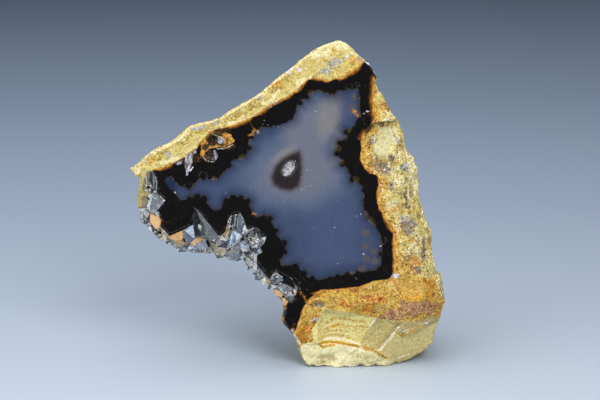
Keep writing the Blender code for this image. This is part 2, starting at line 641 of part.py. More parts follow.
def druse(name, centre, size, depth, turn, cells, seed):
    """A crust of small points that lines a hollow: a bowl whose cells each rise to a tip."""
    pick = random.Random(seed)
    x, z = face_points([centre])[0]
    radii = np.array((size[0] / 2, depth, size[1] / 2)) - DRUSE["gap"]
    rings = [(0.0, 1)] + [((i + 1) / cells, 6 * (i + 1)) for i in range(cells)]
    top = []
    under = []
    layers = []
    for share, count in rings:
        layers.append(list(range(len(top), len(top) + count)))
        for i in range(count):
            angle = 2 * math.pi * (i + 0.5 * (count // 6 % 2)) / count
            reach = share * DRUSE["reach"]
            across = (radii[0] * reach * math.cos(angle), radii[2] * reach * math.sin(angle))
            floor = radii[1] * math.sqrt(1 - reach**2)
            lift = pick.uniform(*DRUSE["tips"]) if share < 1 else DRUSE["middle"]
            if len(top) % 2 and share < 1:
                lift *= DRUSE["low"]
            top.append((across[0], floor - lift - DRUSE["skin"], across[1]))
            under.append((across[0], floor, across[1]))
    faces = []
    for inner, outer in zip(layers, layers[1:]):
        faces += band(inner, outer)
    count = len(top)
    faces += [tuple(corner + count for corner in face[::-1]) for face in faces]
    rim = layers[-1]
    for i, corner in enumerate(rim):
        after = rim[(i + 1) % len(rim)]
        faces.append((corner, after, after + count, corner + count))
    place = Matrix.Translation((x, 0, z)) @ Matrix.Rotation(math.radians(turn), 4, "Y")
    return add_object(name, [place @ Vector(corner) for corner in top + under], faces)


def band(inner, outer):
    """Triangles between two rings of points with different counts."""
    if len(inner) == 1:
        return [(inner[0], outer[i], outer[(i + 1) % len(outer)]) for i in range(len(outer))]
    faces = []
    i = 0
    j = 0
    while i < len(inner) or j < len(outer):
        near = inner[i % len(inner)]
        far = outer[j % len(outer)]
        if j * len(inner) <= i * len(outer):
            faces.append((near, far, outer[(j + 1) % len(outer)]))
            j += 1
        else:
            faces.append((near, far, inner[(i + 1) % len(inner)]))
            i += 1
    return faces


def agate(stone):
    """The agate: the stone inside the contact, with the eye and two small hollows in its face."""
    body = copy_of(stone, "agate")
    combine(body, [agate_block(0.0)], "INTERSECT")
    x, z = face_points([EYE_CENTRE])[0]
    radii = (EYE_SIZE[0] / 2, EYE_DEPTH, EYE_SIZE[1] / 2)
    hollows = [ball("eye", (x, 0, z), radii, EYE_TILT_DEGREES)]
    for name, (centre, size, turn) in VUGS.items():
        x, z = face_points([centre])[0]
        hollows.append(ball(name, (x, 0, z), (size[0] / 2, VUG_DEPTH, size[1] / 2), turn, 2))
    return combine(body, hollows, "DIFFERENCE")


def host_rock(stone):
    """What is left of the stone around the agate and the quartz."""
    rock = copy_of(stone, "host_rock")
    spaces = [agate_block(CONTACT_GAP), quartz_block(QUARTZ_OUTER, BLOCK_START, CONTACT_GAP)]
    return combine(rock, spaces, "DIFFERENCE")


def keep_largest(thing):
    """Takes away the chips that cutting leaves loose."""
    work = bmesh.new()
    work.from_mesh(thing.data)
    waiting = set(work.verts)
    groups = []
    while waiting:
        group = {waiting.pop()}
        edge = list(group)
        while edge:
            near = {link.other_vert(corner) for corner in edge for link in corner.link_edges}
            edge = list(near - group)
            group |= near
        waiting -= group
        groups.append(group)
    groups.sort(key=len)
    bmesh.ops.delete(work, geom=[corner for group in groups[:-1] for corner in group], context="VERTS")
    work.to_mesh(thing.data)
    work.free()


def tidy_faces(thing):
    """Merges the slivers that cutting leaves on flat faces."""
    work = bmesh.new()
    work.from_mesh(thing.data)
    limit = math.radians(FLAT_WITHIN_DEGREES)
    bmesh.ops.dissolve_limit(work, angle_limit=limit, verts=work.verts, edges=work.edges)
    bmesh.ops.triangulate(work, faces=work.faces)
    work.to_mesh(thing.data)
    work.free()


def paint(thing, colour, roughness, transmission=0.0):
    """One material for the piece."""
    material = bpy.data.materials.new(thing.name)
    material.use_nodes = True
    shader = material.node_tree.nodes["Principled BSDF"]
    shader.inputs["Base Color"].default_value = (*colour, 1.0)
    shader.inputs["Roughness"].default_value = roughness
    shader.inputs["Metallic"].default_value = 0.0
    shader.inputs["Transmission Weight"].default_value = transmission
    material.diffuse_color = (*colour, 1.0)
    thing.data.materials.clear()
    thing.data.materials.append(material)


def stand(things):
    """Leans the pieces back, turns millimetres to metres and centres them over the origin."""
    matrix = lean_matrix()
    for thing in things:
        thing.data.transform(matrix)
    corners = np.array([corner.co for thing in things for corner in thing.data.vertices])
    middle = (corners.min(0) + corners.max(0)) / 2
    shift = Matrix.Translation((-middle[0], -middle[1], 0))
    for thing in things:
        thing.data.transform(Matrix.Scale(0.001, 4) @ shift)
        thing.data.update()


def main():
    for thing in list(bpy.data.objects):
        bpy.data.objects.remove(thing)
    stone = whole_stone()
    pieces = {
        "host_rock": host_rock(stone),
        "agate": agate(stone),
        "quartz_crystals": quartz_crystals(stone),
    }
    bpy.data.objects.remove(stone)
    keep_largest(pieces["quartz_crystals"])
    for thing in pieces.values():
        tidy_faces(thing)
    pieces["eye_druse"] = druse("eye_druse", EYE_CENTRE, EYE_SIZE, EYE_DEPTH, EYE_TILT_DEGREES, 4, 3)
    for seed, (name, (centre, size, turn)) in enumerate(VUGS.items()):
        pieces[name] = druse(name, centre, size, VUG_DEPTH, turn, 3, 5 + seed)
    paint(pieces["host_rock"], (0.72, 0.58, 0.26), 0.8)
    paint(pieces["agate"], (0.07, 0.09, 0.15), 0.12)
    paint(pieces["quartz_crystals"], (0.80, 0.84, 0.88), 0.1, 0.6)
    paint(pieces["eye_druse"], (0.55, 0.57, 0.60), 0.2)
    paint(pieces["vug_druse_upper"], (0.62, 0.60, 0.56), 0.25)
    paint(pieces["vug_druse_lower"], (0.62, 0.60, 0.56), 0.25)
    stand(list(pieces.values()))


main()
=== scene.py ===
import math
import random

import bmesh
import bpy
import numpy as np
from mathutils import Matrix, Vector, geometry, noise
from mathutils.bvhtree import BVHTree


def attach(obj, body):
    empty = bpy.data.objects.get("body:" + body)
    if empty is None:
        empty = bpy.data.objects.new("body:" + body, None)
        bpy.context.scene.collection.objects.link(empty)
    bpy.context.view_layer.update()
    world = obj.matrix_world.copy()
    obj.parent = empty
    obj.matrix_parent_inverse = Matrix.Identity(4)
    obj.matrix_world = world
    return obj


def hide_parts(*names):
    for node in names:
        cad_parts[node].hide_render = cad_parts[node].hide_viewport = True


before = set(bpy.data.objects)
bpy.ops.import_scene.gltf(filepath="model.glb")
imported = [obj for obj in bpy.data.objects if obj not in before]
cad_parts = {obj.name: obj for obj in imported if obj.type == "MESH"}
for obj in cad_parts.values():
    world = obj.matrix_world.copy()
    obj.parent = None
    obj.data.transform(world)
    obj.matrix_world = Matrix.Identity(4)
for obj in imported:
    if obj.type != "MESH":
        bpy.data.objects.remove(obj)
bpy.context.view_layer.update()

# The polished face has a frame of its own, in millimetres: x right, z up along the face, depth
# behind it. Places on it are read in a 600 x 400 front view, x right and y down.
slab = {
    "leanDegrees": 14.0,
    "groundBelow": 1.15,
    "mmPerView": 0.245,
    "viewZero": (312.0, 367.5),
    "leftTip": 129.0,
}
leanCos = math.cos(math.radians(slab["leanDegrees"]))
leanSin = math.sin(math.radians(slab["leanDegrees"]))


def onFace(viewPoints):  # view places to x and z on the face
    view = np.array(viewPoints, float)
    right = view[..., 0] - slab["viewZero"][0]
    up = slab["viewZero"][1] - view[..., 1]
    return np.stack((right, up), -1) * slab["mmPerView"]


def toView(points):  # slab points to view places
    right = points[:, 0] / slab["mmPerView"] + slab["viewZero"][0]
    down = slab["viewZero"][1] - points[:, 2] / slab["mmPerView"]
    return np.column_stack((right, down))


def nodePoints(name):
    return np.array([corner.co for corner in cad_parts[name].data.vertices], float) * 1000


def findShift():  # where the slab's frame lies in the frame of the model, in millimetres
    agate = nodePoints("agate")
    leftmost = nodePoints("host_rock")[:, 0].min()
    across = leftmost - onFace([(slab["leftTip"], 0)])[0][0]
    behind = (agate[:, 1] - (agate[:, 2] - slab["groundBelow"]) * leanSin / leanCos).min()
    return np.array((across, behind, slab["groundBelow"]))


slabShift = findShift()


def toSlab(millimetres):
    x, y, z = (np.asarray(millimetres, float) - slabShift).T
    return np.column_stack((x, y * leanCos - z * leanSin, y * leanSin + z * leanCos))


def toModel(points):  # slab millimetres to metres in the model's frame
    x, y, z = np.asarray(points, float).T
    leaned = np.column_stack((x, y * leanCos + z * leanSin, z * leanCos - y * leanSin))
    return (leaned + slabShift) / 1000


print("stage: frame loaded, slab shift", slabShift.round(3))

# Camera, light and air

view = {"centre": (300, 200), "widthMm": 147.0, "lens": 100.0, "sensor": 36.0}
studio = {
    "key": {"from": (0.26, -0.50, 0.48), "size": 0.36, "watts": 3.1, "colour": (1.0, 0.98, 0.95)},
    "front": {"from": (-0.46, -0.50, 0.16), "size": 0.24, "watts": 1.1, "colour": (1.0, 0.99, 0.97)},
    "top": {"from": (-0.10, -0.02, 0.62), "size": 0.75, "watts": 4.15, "colour": (1.0, 1.0, 1.0)},
    "left": {"from": (-0.62, -0.20, 0.34), "size": 0.30, "watts": 0.8, "colour": (0.9, 0.95, 1.0)},
}
studioAir = {"colour": (0.60, 0.70, 0.85, 1.0), "strength": 0.10}


def placeCamera():
    camera = bpy.data.objects.new("camera", bpy.data.cameras.new("camera"))
    camera.data.lens = view["lens"]
    camera.data.sensor_width = view["sensor"]
    x, z = onFace([view["centre"]])[0]
    away = view["widthMm"] * view["lens"] / view["sensor"]
    camera.location = toModel([(x, -away, z)])[0]
    camera.rotation_euler = (math.radians(90 - slab["leanDegrees"]), 0, 0)
    camera.data.clip_start = 0.01
    camera.data.clip_end = 20
    bpy.context.scene.collection.objects.link(camera)
    bpy.context.scene.camera = camera


def placeLight(name, setup, aim=(0, 0, 0.035)):
    lamp = bpy.data.lights.new(name, "AREA")
    lamp.shape = "SQUARE"
    lamp.size = setup["size"]
    lamp.energy = setup["watts"]
    lamp.color = setup["colour"]
    holder = bpy.data.objects.new(name, lamp)
    holder.location = setup["from"]
    holder.rotation_euler = (Vector(aim) - Vector(setup["from"])).to_track_quat("-Z", "Y").to_euler()
    bpy.context.scene.collection.objects.link(holder)


placeCamera()
for name, setup in studio.items():
    placeLight(name + "_light", setup)
bpy.context.scene.view_settings.view_transform = "Standard"
world = bpy.data.worlds.new("studio_air")
bpy.context.scene.world = world
world.use_nodes = True
world.node_tree.nodes["Background"].inputs["Color"].default_value = studioAir["colour"]
world.node_tree.nodes["Background"].inputs["Strength"].default_value = studioAir["strength"]

# Shader building


def tint(code):  # a screen colour such as CFB15C as the shader's own numbers
    parts = [int(code[i:i + 2], 16) / 255 for i in (0, 2, 4)]
    return tuple(c / 12.92 if c <= 0.04045 else ((c + 0.055) / 1.055) ** 2.4 for c in parts) + (1.0,)


def node(tree, kind, wires=None, **settings):
    made = tree.nodes.new("ShaderNode" + kind)
    for key, value in settings.items():
        setattr(made, key, value)
    for key, value in (wires or {}).items():
        if isinstance(value, bpy.types.NodeSocket):
            tree.links.new(value, made.inputs[key])
        else:
            made.inputs[key].default_value = value
    return made


def sums(tree, how, first, second=0.0, third=None):
    wires = {0: first, 1: second}
    if third is not None:
        wires[2] = third
    return node(tree, "Math", wires, operation=how).outputs[0]


def between(tree, value, low, high, start=0.0, end=1.0):  # soft step from low to high
    wires = {"Value": value, "From Min": low, "From Max": high, "To Min": start, "To Max": end}
    return node(tree, "MapRange", wires, interpolation_type="SMOOTHSTEP").outputs[0]


def blend(tree, share, first, second, how="MIX"):
    wires = {0: share, 6: first, 7: second}
    return node(tree, "Mix", wires, data_type="RGBA", blend_type=how).outputs[2]


def ramp(tree, value, stops):  # place and screen colour pairs
    made = node(tree, "ValToRGB", {0: value})
    band = made.color_ramp
    while len(band.elements) < len(stops):
        band.elements.new(0.5)
    for element, (place, code) in zip(band.elements, stops):
        element.position = place
        element.color = tint(code)
    return made.outputs[0]


def field(tree, name):
    return node(tree, "Attribute", attribute_name=name).outputs["Fac"]


def millimetres(tree):  # the surface's place in millimetres
    where = node(tree, "TexCoord").outputs["Object"]
    return node(tree, "VectorMath", {0: where, "Scale": 1000.0}, operation="SCALE").outputs[0]


def noiseAt(tree, place, size, detail=3.0, roughness=0.55, distortion=0.0):
    wires = {"Vector": place, "Scale": 1 / size, "Detail": detail, "Roughness": roughness,
             "Distortion": distortion}
    return node(tree, "TexNoise", wires).outputs["Fac"]


def newMaterial(name):
    material = bpy.data.materials.new(name)
    material.use_nodes = True
    tree = material.node_tree
    return material, tree, tree.nodes["Principled BSDF"]


def wire(tree, shader, **values):
    for key, value in values.items():
        socket = shader.inputs[key.replace("_", " ")]
        if isinstance(value, bpy.types.NodeSocket):
            tree.links.new(value, socket)
        else:
            socket.default_value = value


def newGroup(name, inputs, outputs):  # inputs: name to socket kind and value
    tree = bpy.data.node_groups.new(name, "ShaderNodeTree")
    for label, (kind, value) in inputs.items():
        made = tree.interface.new_socket(name=label, in_out="INPUT", socket_type="NodeSocket" + kind)
        if value is not None:
            made.default_value = value
    for label, kind in outputs.items():
        tree.interface.new_socket(name=label, in_out="OUTPUT", socket_type="NodeSocket" + kind)
    return tree, tree.nodes.new("NodeGroupInput").outputs, tree.nodes.new("NodeGroupOutput").inputs


def useGroup(tree, group, **wires):
    made = tree.nodes.new("ShaderNodeGroup")
    made.node_tree = group
    for key, value in wires.items():
        if isinstance(value, bpy.types.NodeSocket):
            tree.links.new(value, made.inputs[key])
        else:
            made.inputs[key].default_value = value
    return made.outputs


def brokenEdgeGroup():  # a mask whose edge breaks up along the grain
    inputs = {"Field": ("Float", 0.0), "Wide": ("Float", 0.5), "Fine": ("Float", 0.5),
              "Breakup": ("Float", 0.5), "Low": ("Float", 0.4), "High": ("Float", 0.6)}
    tree, given, result = newGroup("broken_edge", inputs, {"Mask": "Float"})
    rough = sums(tree, "ADD", given["Wide"], sums(tree, "MULTIPLY", given["Fine"], 0.8))
    rough = sums(tree, "SUBTRACT", rough, 0.9)
    moved = sums(tree, "MULTIPLY_ADD", rough, given["Breakup"], given["Field"])
    present = between(tree, given["Field"], 0.02, 0.2)
    mask = between(tree, moved, given["Low"], given["High"])
    tree.links.new(sums(tree, "MULTIPLY", mask, present), result["Mask"])
    return tree


def sugarGrainGroup():  # grains of the given size: a draw for each, its relief and glints
    tree, given, result = newGroup(
        "sugar_grain", {"Place": ("Vector", None), "Size": ("Float", 0.4)},
        {"Draw": "Float", "Relief": "Float", "Glint": "Float", "Pore": "Float"})
    often = sums(tree, "DIVIDE", 1.0, given["Size"])
    grain = node(tree, "TexVoronoi", {"Vector": given["Place"], "Scale": often})
    parts = node(tree, "SeparateColor", {0: grain.outputs["Color"]})
    tree.links.new(parts.outputs[0], result["Draw"])
    relief = sums(tree, "SUBTRACT", 0.6, grain.outputs["Distance"])
    tree.links.new(relief, result["Relief"])
    tree.links.new(between(tree, parts.outputs[1], 0.93, 0.96), result["Glint"])
    tree.links.new(between(tree, parts.outputs[2], 0.86, 0.9), result["Pore"])
    return tree


brokenEdge = brokenEdgeGroup()
sugarGrain = sugarGrainGroup()

# Mesh helpers


def addThing(name, points, faces):  # a mesh object in slab millimetres, its faces turned outward
    mesh = bpy.data.meshes.new(name)
    mesh.from_pydata([tuple(point) for point in points], [], [tuple(face) for face in faces])
    work = bmesh.new()
    work.from_mesh(mesh)
    bmesh.ops.recalc_face_normals(work, faces=work.faces)
    work.to_mesh(mesh)
    work.free()
    thing = bpy.data.objects.new(name, mesh)
    bpy.context.scene.collection.objects.link(thing)
    return thing


def settle(thing):  # turns the modifiers into plain mesh
    graph = bpy.context.evaluated_depsgraph_get()
    made = bpy.data.meshes.new_from_object(thing.evaluated_get(graph))
    thing.modifiers.clear()
    thing.data = made


def carve(thing, cutters, how="DIFFERENCE", solver="MANIFOLD"):
    for cutter in cutters:
        step = thing.modifiers.new(how.title(), "BOOLEAN")
        step.operation = how
        step.solver = solver
        step.object = cutter
    settle(thing)
    for cutter in cutters:
        bpy.data.objects.remove(cutter)


def twinOf(thing, name):
    twin = bpy.data.objects.new(name, thing.data.copy())
    bpy.context.scene.collection.objects.link(twin)
    return twin


def pointsOf(thing):
    flat = np.empty(len(thing.data.vertices) * 3, np.float32)
    thing.data.vertices.foreach_get("co", flat)
    return flat.reshape(-1, 3).astype(float)


def normalsOf(thing):
    flat = np.empty(len(thing.data.vertices) * 3, np.float32)
    thing.data.vertex_normals.foreach_get("vector", flat)
    return flat.reshape(-1, 3).astype(float)


def setPoints(thing, points):
    thing.data.vertices.foreach_set("co", np.asarray(points, np.float32).ravel())
    thing.data.update()


def setField(thing, name, values):
    made = thing.data.attributes.new(name, "FLOAT", "POINT")
    made.data.foreach_set("value", np.asarray(values, np.float32))


def nodeShape(name):  # a node of the frame in slab millimetres, its doubled corners joined
    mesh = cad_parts[name].data
    points = toSlab(nodePoints(name)).round(4)
    corners, place = np.unique(points, axis=0, return_inverse=True)
    place = place.reshape(-1)
    faces = [tuple(int(place[i]) for i in face.vertices) for face in mesh.polygons]
    return corners, [face for face in faces if len(set(face)) > 2]


def lineDistance(flat, line, closed=False):  # from each place to the line
    line = np.asarray(line, float)
    starts = line if closed else line[:-1]
    ends = np.roll(line, -1, axis=0) if closed else line[1:]
    along = ends - starts
    length = (along**2).sum(1)
    found = np.empty(len(flat))
    for low in range(0, len(flat), 20000):
        some = flat[low:low + 20000, None]
        share = np.clip(((some - starts) * along).sum(2) / length, 0, 1)
        nearest = starts + share[..., None] * along
        found[low:low + 20000] = np.linalg.norm(some - nearest, axis=2).min(1)
    return found


def isInside(flat, outline):
    outline = np.asarray(outline, float)
    found = np.zeros(len(flat), bool)
    for start, end in zip(outline, np.roll(outline, -1, axis=0)):
        crosses = (start[1] > flat[:, 1]) != (end[1] > flat[:, 1])
        if start[1] != end[1]:
            at = start[0] + (flat[:, 1] - start[1]) / (end[1] - start[1]) * (end[0] - start[0])
            found ^= crosses & (flat[:, 0] < at)
    return found


def signedDistance(flat, outline):  # below zero inside
    gap = lineDistance(flat, outline, closed=True)
    return np.where(isInside(flat, outline), -gap, gap)


def zones(view, outlines, soft=2.0):  # 1 inside, 0.5 on the outline, 0 outside, in view units
    total = np.zeros(len(view))
    for outline in outlines:
        total = np.maximum(total, np.clip(0.5 - signedDistance(view, outline) / soft, 0, 1))
    return total


def spots(view, places):  # 1 in the middle of each, 0.5 at its edge, 0 half as far again
    total = np.zeros(len(view))
    for x, y, wide, high, turn in places:
        angle = math.radians(turn)
        right = view[:, 0] - x
        down = view[:, 1] - y
        u = (right * math.cos(angle) + down * math.sin(angle)) / wide
        v = (down * math.cos(angle) - right * math.sin(angle)) / high
        total = np.maximum(total, np.clip(1.5 - np.sqrt(u**2 + v**2), 0, 1))
    return total


def waves(points, size, seed, octaves=3):
    shift = Vector((seed, seed * 0.37, -seed))
    return np.array([
        noise.fractal(Vector(point) / size + shift, 0.9, 2.0, octaves) for point in points
    ])


def cells(points, size, seed):  # distance to the nearest cell's middle in cell sizes, and its draw
    shift = Vector((seed, -seed, seed * 0.5))
    gaps = np.empty(len(points))
    draws = np.empty(len(points))
    for i, point in enumerate(points):
        distances, middles = noise.voronoi(Vector(point) / size + shift)
        gaps[i] = distances[0]
        draws[i] = noise.cell(middles[0] * 7.3)
    return gaps, draws


def warped(points, view, reach=1.6, size=1.6, seed=7):  # view places that wander, for ragged patches
    aside = np.column_stack((waves(points, size, seed), waves(points, size, seed + 40)))
    return view + reach * aside


def smooth(value):
    value = np.clip(value, 0, 1)
    return value * value * (3 - 2 * value)


# Outlines on the face

agateOutline = onFace([
    (152, 170), (163, 167.5), (175, 162), (185, 157), (197, 148), (204, 138), (213, 129.5),
    (228, 126.5), (243, 121), (252, 117), (262, 110.5), (272, 103.5), (286, 97), (296, 91),
    (304, 82), (313, 77), (330, 80.5), (343, 76.5), (356, 69), (364, 62), (369, 57),
    (384, 74), (374.5, 79), (374, 90), (373, 100), (374, 110), (376, 118), (373, 126),
    (365, 135), (361, 145), (361, 158), (366, 168), (378, 177), (380, 184), (378, 200),
    (382, 211), (391, 226), (395, 236), (395, 250), (394, 271), (390, 279), (372, 281.5),
    (357, 288), (345, 290), (322, 291), (310, 298), (303, 308), (300, 318), (296, 330),
    (289, 340), (272, 322), (276, 306), (291, 300), (293, 294), (296, 288), (291, 277),
    (286, 280), (281, 278), (277, 273), (273, 276), (270, 282), (262, 272), (256, 262),
    (257, 257), (262, 253), (261, 248), (266, 238), (260, 237), (259, 231), (250, 229),
    (246, 231), (245, 224), (238, 213), (232, 216), (229, 225), (224, 234), (219, 237),
    (210, 227), (205, 219), (194.5, 208), (192, 226), (184, 230), (175, 234), (168.5, 236.5),
    (159.5, 226), (161, 221), (157, 213), (158, 209), (165, 201), (157, 192), (156.5, 181),
])
flushOutline = onFace([
    (150, 175), (149, 163), (146, 140), (190, 110), (250, 85), (300, 40), (340, 20), (385, 50),
    (400, 95), (404, 119), (376, 123), (366, 131), (330, 110), (250, 150), (180, 180),
])

# The stone's skin: the frame's rock and agate as one dense surface

skin = {
    "voxel": 0.45,
    "fill": 0.5,       # how far the agate is grown to close the gap around it
    "near": 0.45,      # where it is grown: this close to the rock or the quartz
    "flat": 0.3,       # what lies this near the polished plane is laid on it
    "frontFacing": -0.3,
}


def wholeSkin():
    rockPoints, rockFaces = nodeShape("host_rock")
    agatePoints, agateFaces = nodeShape("agate")
    filler = addThing("filler", agatePoints, agateFaces)
    quartzPoints, quartzFaces = nodeShape("quartz_crystals")
    neighbours = [BVHTree.FromPolygons([tuple(point) for point in points], faces)
                  for points, faces in ((rockPoints, rockFaces), (quartzPoints, quartzFaces))]
    moved = pointsOf(filler)
    outward = normalsOf(filler)
    for i, point in enumerate(moved):
        gap = min(tree.find_nearest(Vector(point))[3] for tree in neighbours)
        if gap < skin["near"]:
            moved[i] = point + skin["fill"] * outward[i]
    moved[:, 1] = np.maximum(moved[:, 1], 0)
    bpy.data.objects.remove(filler)
    points = np.vstack((rockPoints, moved))
    faces = rockFaces + [tuple(i + len(rockPoints) for i in face) for face in agateFaces]
    stone = addThing("stone", points, faces)
    step = stone.modifiers.new("Remesh", "REMESH")
    step.mode = "VOXEL"
    step.voxel_size = skin["voxel"]
    settle(stone)
    return stone


def refineFront(stone):  # halves the mesh size where the surface faces forward
    work = bmesh.new()
    work.from_mesh(stone.data)
    edges = {edge for face in work.faces if face.normal.y < skin["frontFacing"] for edge in face.edges}
    bmesh.ops.subdivide_edges(work, edges=list(edges), cuts=1, use_grid_fill=True)
    work.to_mesh(stone.data)
    work.free()


stone = wholeSkin()
print("stage: skin remeshed,", len(stone.data.polygons), "faces")
refineFront(stone)
print("stage: front refined,", len(stone.data.polygons), "faces")

# Relief of the rock

relief = {
    "lumps": (0.55, 4.4, 5),      # height, size, seed
    "knobs": (0.40, 1.9, 17),
    "crumbs": (0.16, 0.9, 23),
    "grains": (0.15, 0.6, 3),
    "pits": {"size": 2.6, "share": 0.36, "reach": 0.45, "depth": 0.65, "seed": 9},
    "backLumps": (0.6, 5.0, 29),
    "frontDepth": 4.0,            # the front's look fades over this depth behind it
    "pocketDepth": 0.5,           # how deep the grey drusy patches lie
}
# Where the broken front is even: the sugary slope under the agate
evenSlope = [(292, 336), (298, 318), (308, 296), (345, 287), (372, 278), (394, 276), (446, 280),
             (448, 322), (377, 320), (325, 311), (314, 322), (312, 345), (298, 350)]
# Broken facets of the lower chunk, smooth and each of its own tone; the hollow's darker tone is painted shade
facets = {
    "layered": [(325, 309), (350, 312.5), (377, 318), (370, 327), (365, 336), (360, 346.5),
                (345, 343.5), (331, 342), (320, 344), (313, 338), (311, 331), (318, 321)],
    "hollow": [(377, 318), (388, 321.5), (399, 327), (391, 338), (379, 351), (372, 350),
               (360, 346.5), (365, 336), (370, 327)],
    "smoothBand": [(377, 318), (395, 321), (415, 322), (432, 317), (442, 319), (436, 326),
                   (424, 327), (410, 333), (403, 338), (399, 327), (388, 321.5)],
    "tan": [(399, 327), (403, 338), (410, 333), (424, 327), (436, 326), (444, 318), (450, 330),
            (440, 352), (428, 364), (410, 370), (395, 372), (387, 360), (379, 351)],
    "cream": [(300, 347), (308, 343), (320, 345), (331, 342.5), (345, 344), (358, 347.5),
              (352, 357), (346, 371), (318, 372), (304, 363)],
    "yellow": [(358, 347), (375, 352), (387, 360), (396, 365), (380, 369), (346, 371), (352, 357)],
    "scar": [(393, 280), (397, 290), (403, 296), (412, 299.5), (423, 298.5), (431, 291),
             (430, 284), (412, 280)],
    "pocket": [(377, 127), (392, 126), (394, 139), (389, 153), (379, 158), (373, 150), (378, 139)],
}
# Ledges: the line, how high its left-hand side stands, how far that reaches back
ledges = [
    ([(376, 317), (371, 327), (366, 337), (362, 346)], 0.35, 2.6),
    ([(379, 351), (391, 338), (399, 327)], -0.5, 1.8),
    ([(320, 344), (331, 341.8), (345, 343.5), (360, 347), (375, 352), (388, 360)], 0.45, 1.6),
    ([(423, 298.5), (412, 300), (403, 297), (397, 291), (393, 281)], 0.40, 1.8),
    ([(319, 364), (324, 362.5), (333, 364)], 0.35, 0.9),
    ([(318, 321), (325, 309), (350, 312.5), (377, 318)], 0.40, 1.2),
    ([(399, 332), (403, 337.5), (409, 334), (424, 327.5)], 0.35, 1.2),
    ([(345, 360), (352, 353), (360, 348)], 0.30, 1.0),
    ([(443, 305), (441, 292), (436, 280)], 0.30, 1.4),
    ([(398, 119), (386, 121.5), (377, 123.5)], -0.6, 1.6),
]
# Fine layers broken across the facets: the line, its width and its depth
layers = [
    ([(326, 325), (331, 320.3), (337, 318.3), (345, 319.3), (353, 321.3), (365, 322.5)], 0.30, 0.12),
    ([(325, 330), (333, 326.5), (341, 324.8), (350, 327), (358, 327)], 0.28, 0.12),
    ([(321, 340), (325, 337), (331, 335.8), (339, 335.8), (347, 337.6), (354, 341)], 0.25, 0.14),
    ([(353, 333), (355, 329.8), (359, 327.4), (367, 327.6)], 0.24, 0.12),
    ([(323, 341.5), (331, 339), (343, 339.8), (352, 343)], 0.20, -0.12),
    ([(337, 331), (345, 331.5), (352, 335)], 0.22, 0.08),
    ([(399, 283), (403, 290), (411, 294), (420, 293)], 0.30, -0.08),
    ([(404, 281), (408, 287), (414, 289)], 0.30, -0.06),
]
pitHoles = [
    (386, 109, 1.6), (383, 105, 1.2), (370, 147, 1.3), (373, 151, 1.3), (406.5, 265, 2.0),
    (366, 306, 1.5), (374, 313, 1.6), (418, 302, 1.1), (432, 307, 1.6), (421, 315, 1.6),
    (362, 327, 1.2), (321.8, 347, 1.7), (317, 351.5, 0.9), (334, 361.7, 0.9), (391, 156, 1.2),
    (407, 204, 1.7), (406, 194, 1.4), (413, 228, 1.4), (425, 252, 1.2), (384, 168, 1.4),
    (401, 244, 1.2), (316, 305, 1.6), (380, 299, 1.2), (385, 319, 1.0), (391, 185, 1.6),
    (337, 320, 0.7), (345, 319.4, 0.6), (353, 321.5, 0.7), (362, 322.5, 0.6), (331, 321, 0.6),
    (340, 325, 0.6), (348, 327, 0.7), (334, 335.6, 0.6), (342, 336.2, 0.6), (349, 338.4, 0.7),
    (326, 337, 0.6), (382, 335, 0.8), (386, 332, 0.7), (379, 330, 0.6), (376, 342, 0.6),
    (404, 232, 1.5), (410, 222, 1.2), (397, 215, 1.0), (425, 243, 1.0), (426, 257, 1.0),
    (273, 86.5, 1.7), (277.4, 83, 1.5), (280.6, 87.4, 1.8), (275.6, 91, 1.5), (246, 107.5, 1.4),
    (250.4, 104, 1.4), (253.8, 107, 1.5), (229, 117, 1.3), (236, 114, 1.3), (167, 153, 1.3),
]
# Open, pitted stretches of the polished band
openPatches = [
    (158, 154, 11, 5, -30), (185, 140, 8, 3.5, -35), (233, 115, 9, 4, -28), (249, 106, 7, 5, -30),
    (276, 87, 8, 5, -35), (288, 79, 6, 4, -35), (385, 106, 5, 6, 0), (336, 68, 9, 4, -20),
]
# The polished band's outer edge, even and smooth
bandEdge = [(136, 172), (152, 157), (190, 126), (222, 120), (262, 95), (300, 62), (330, 42), (345, 41),
            (357, 52), (364, 60)]
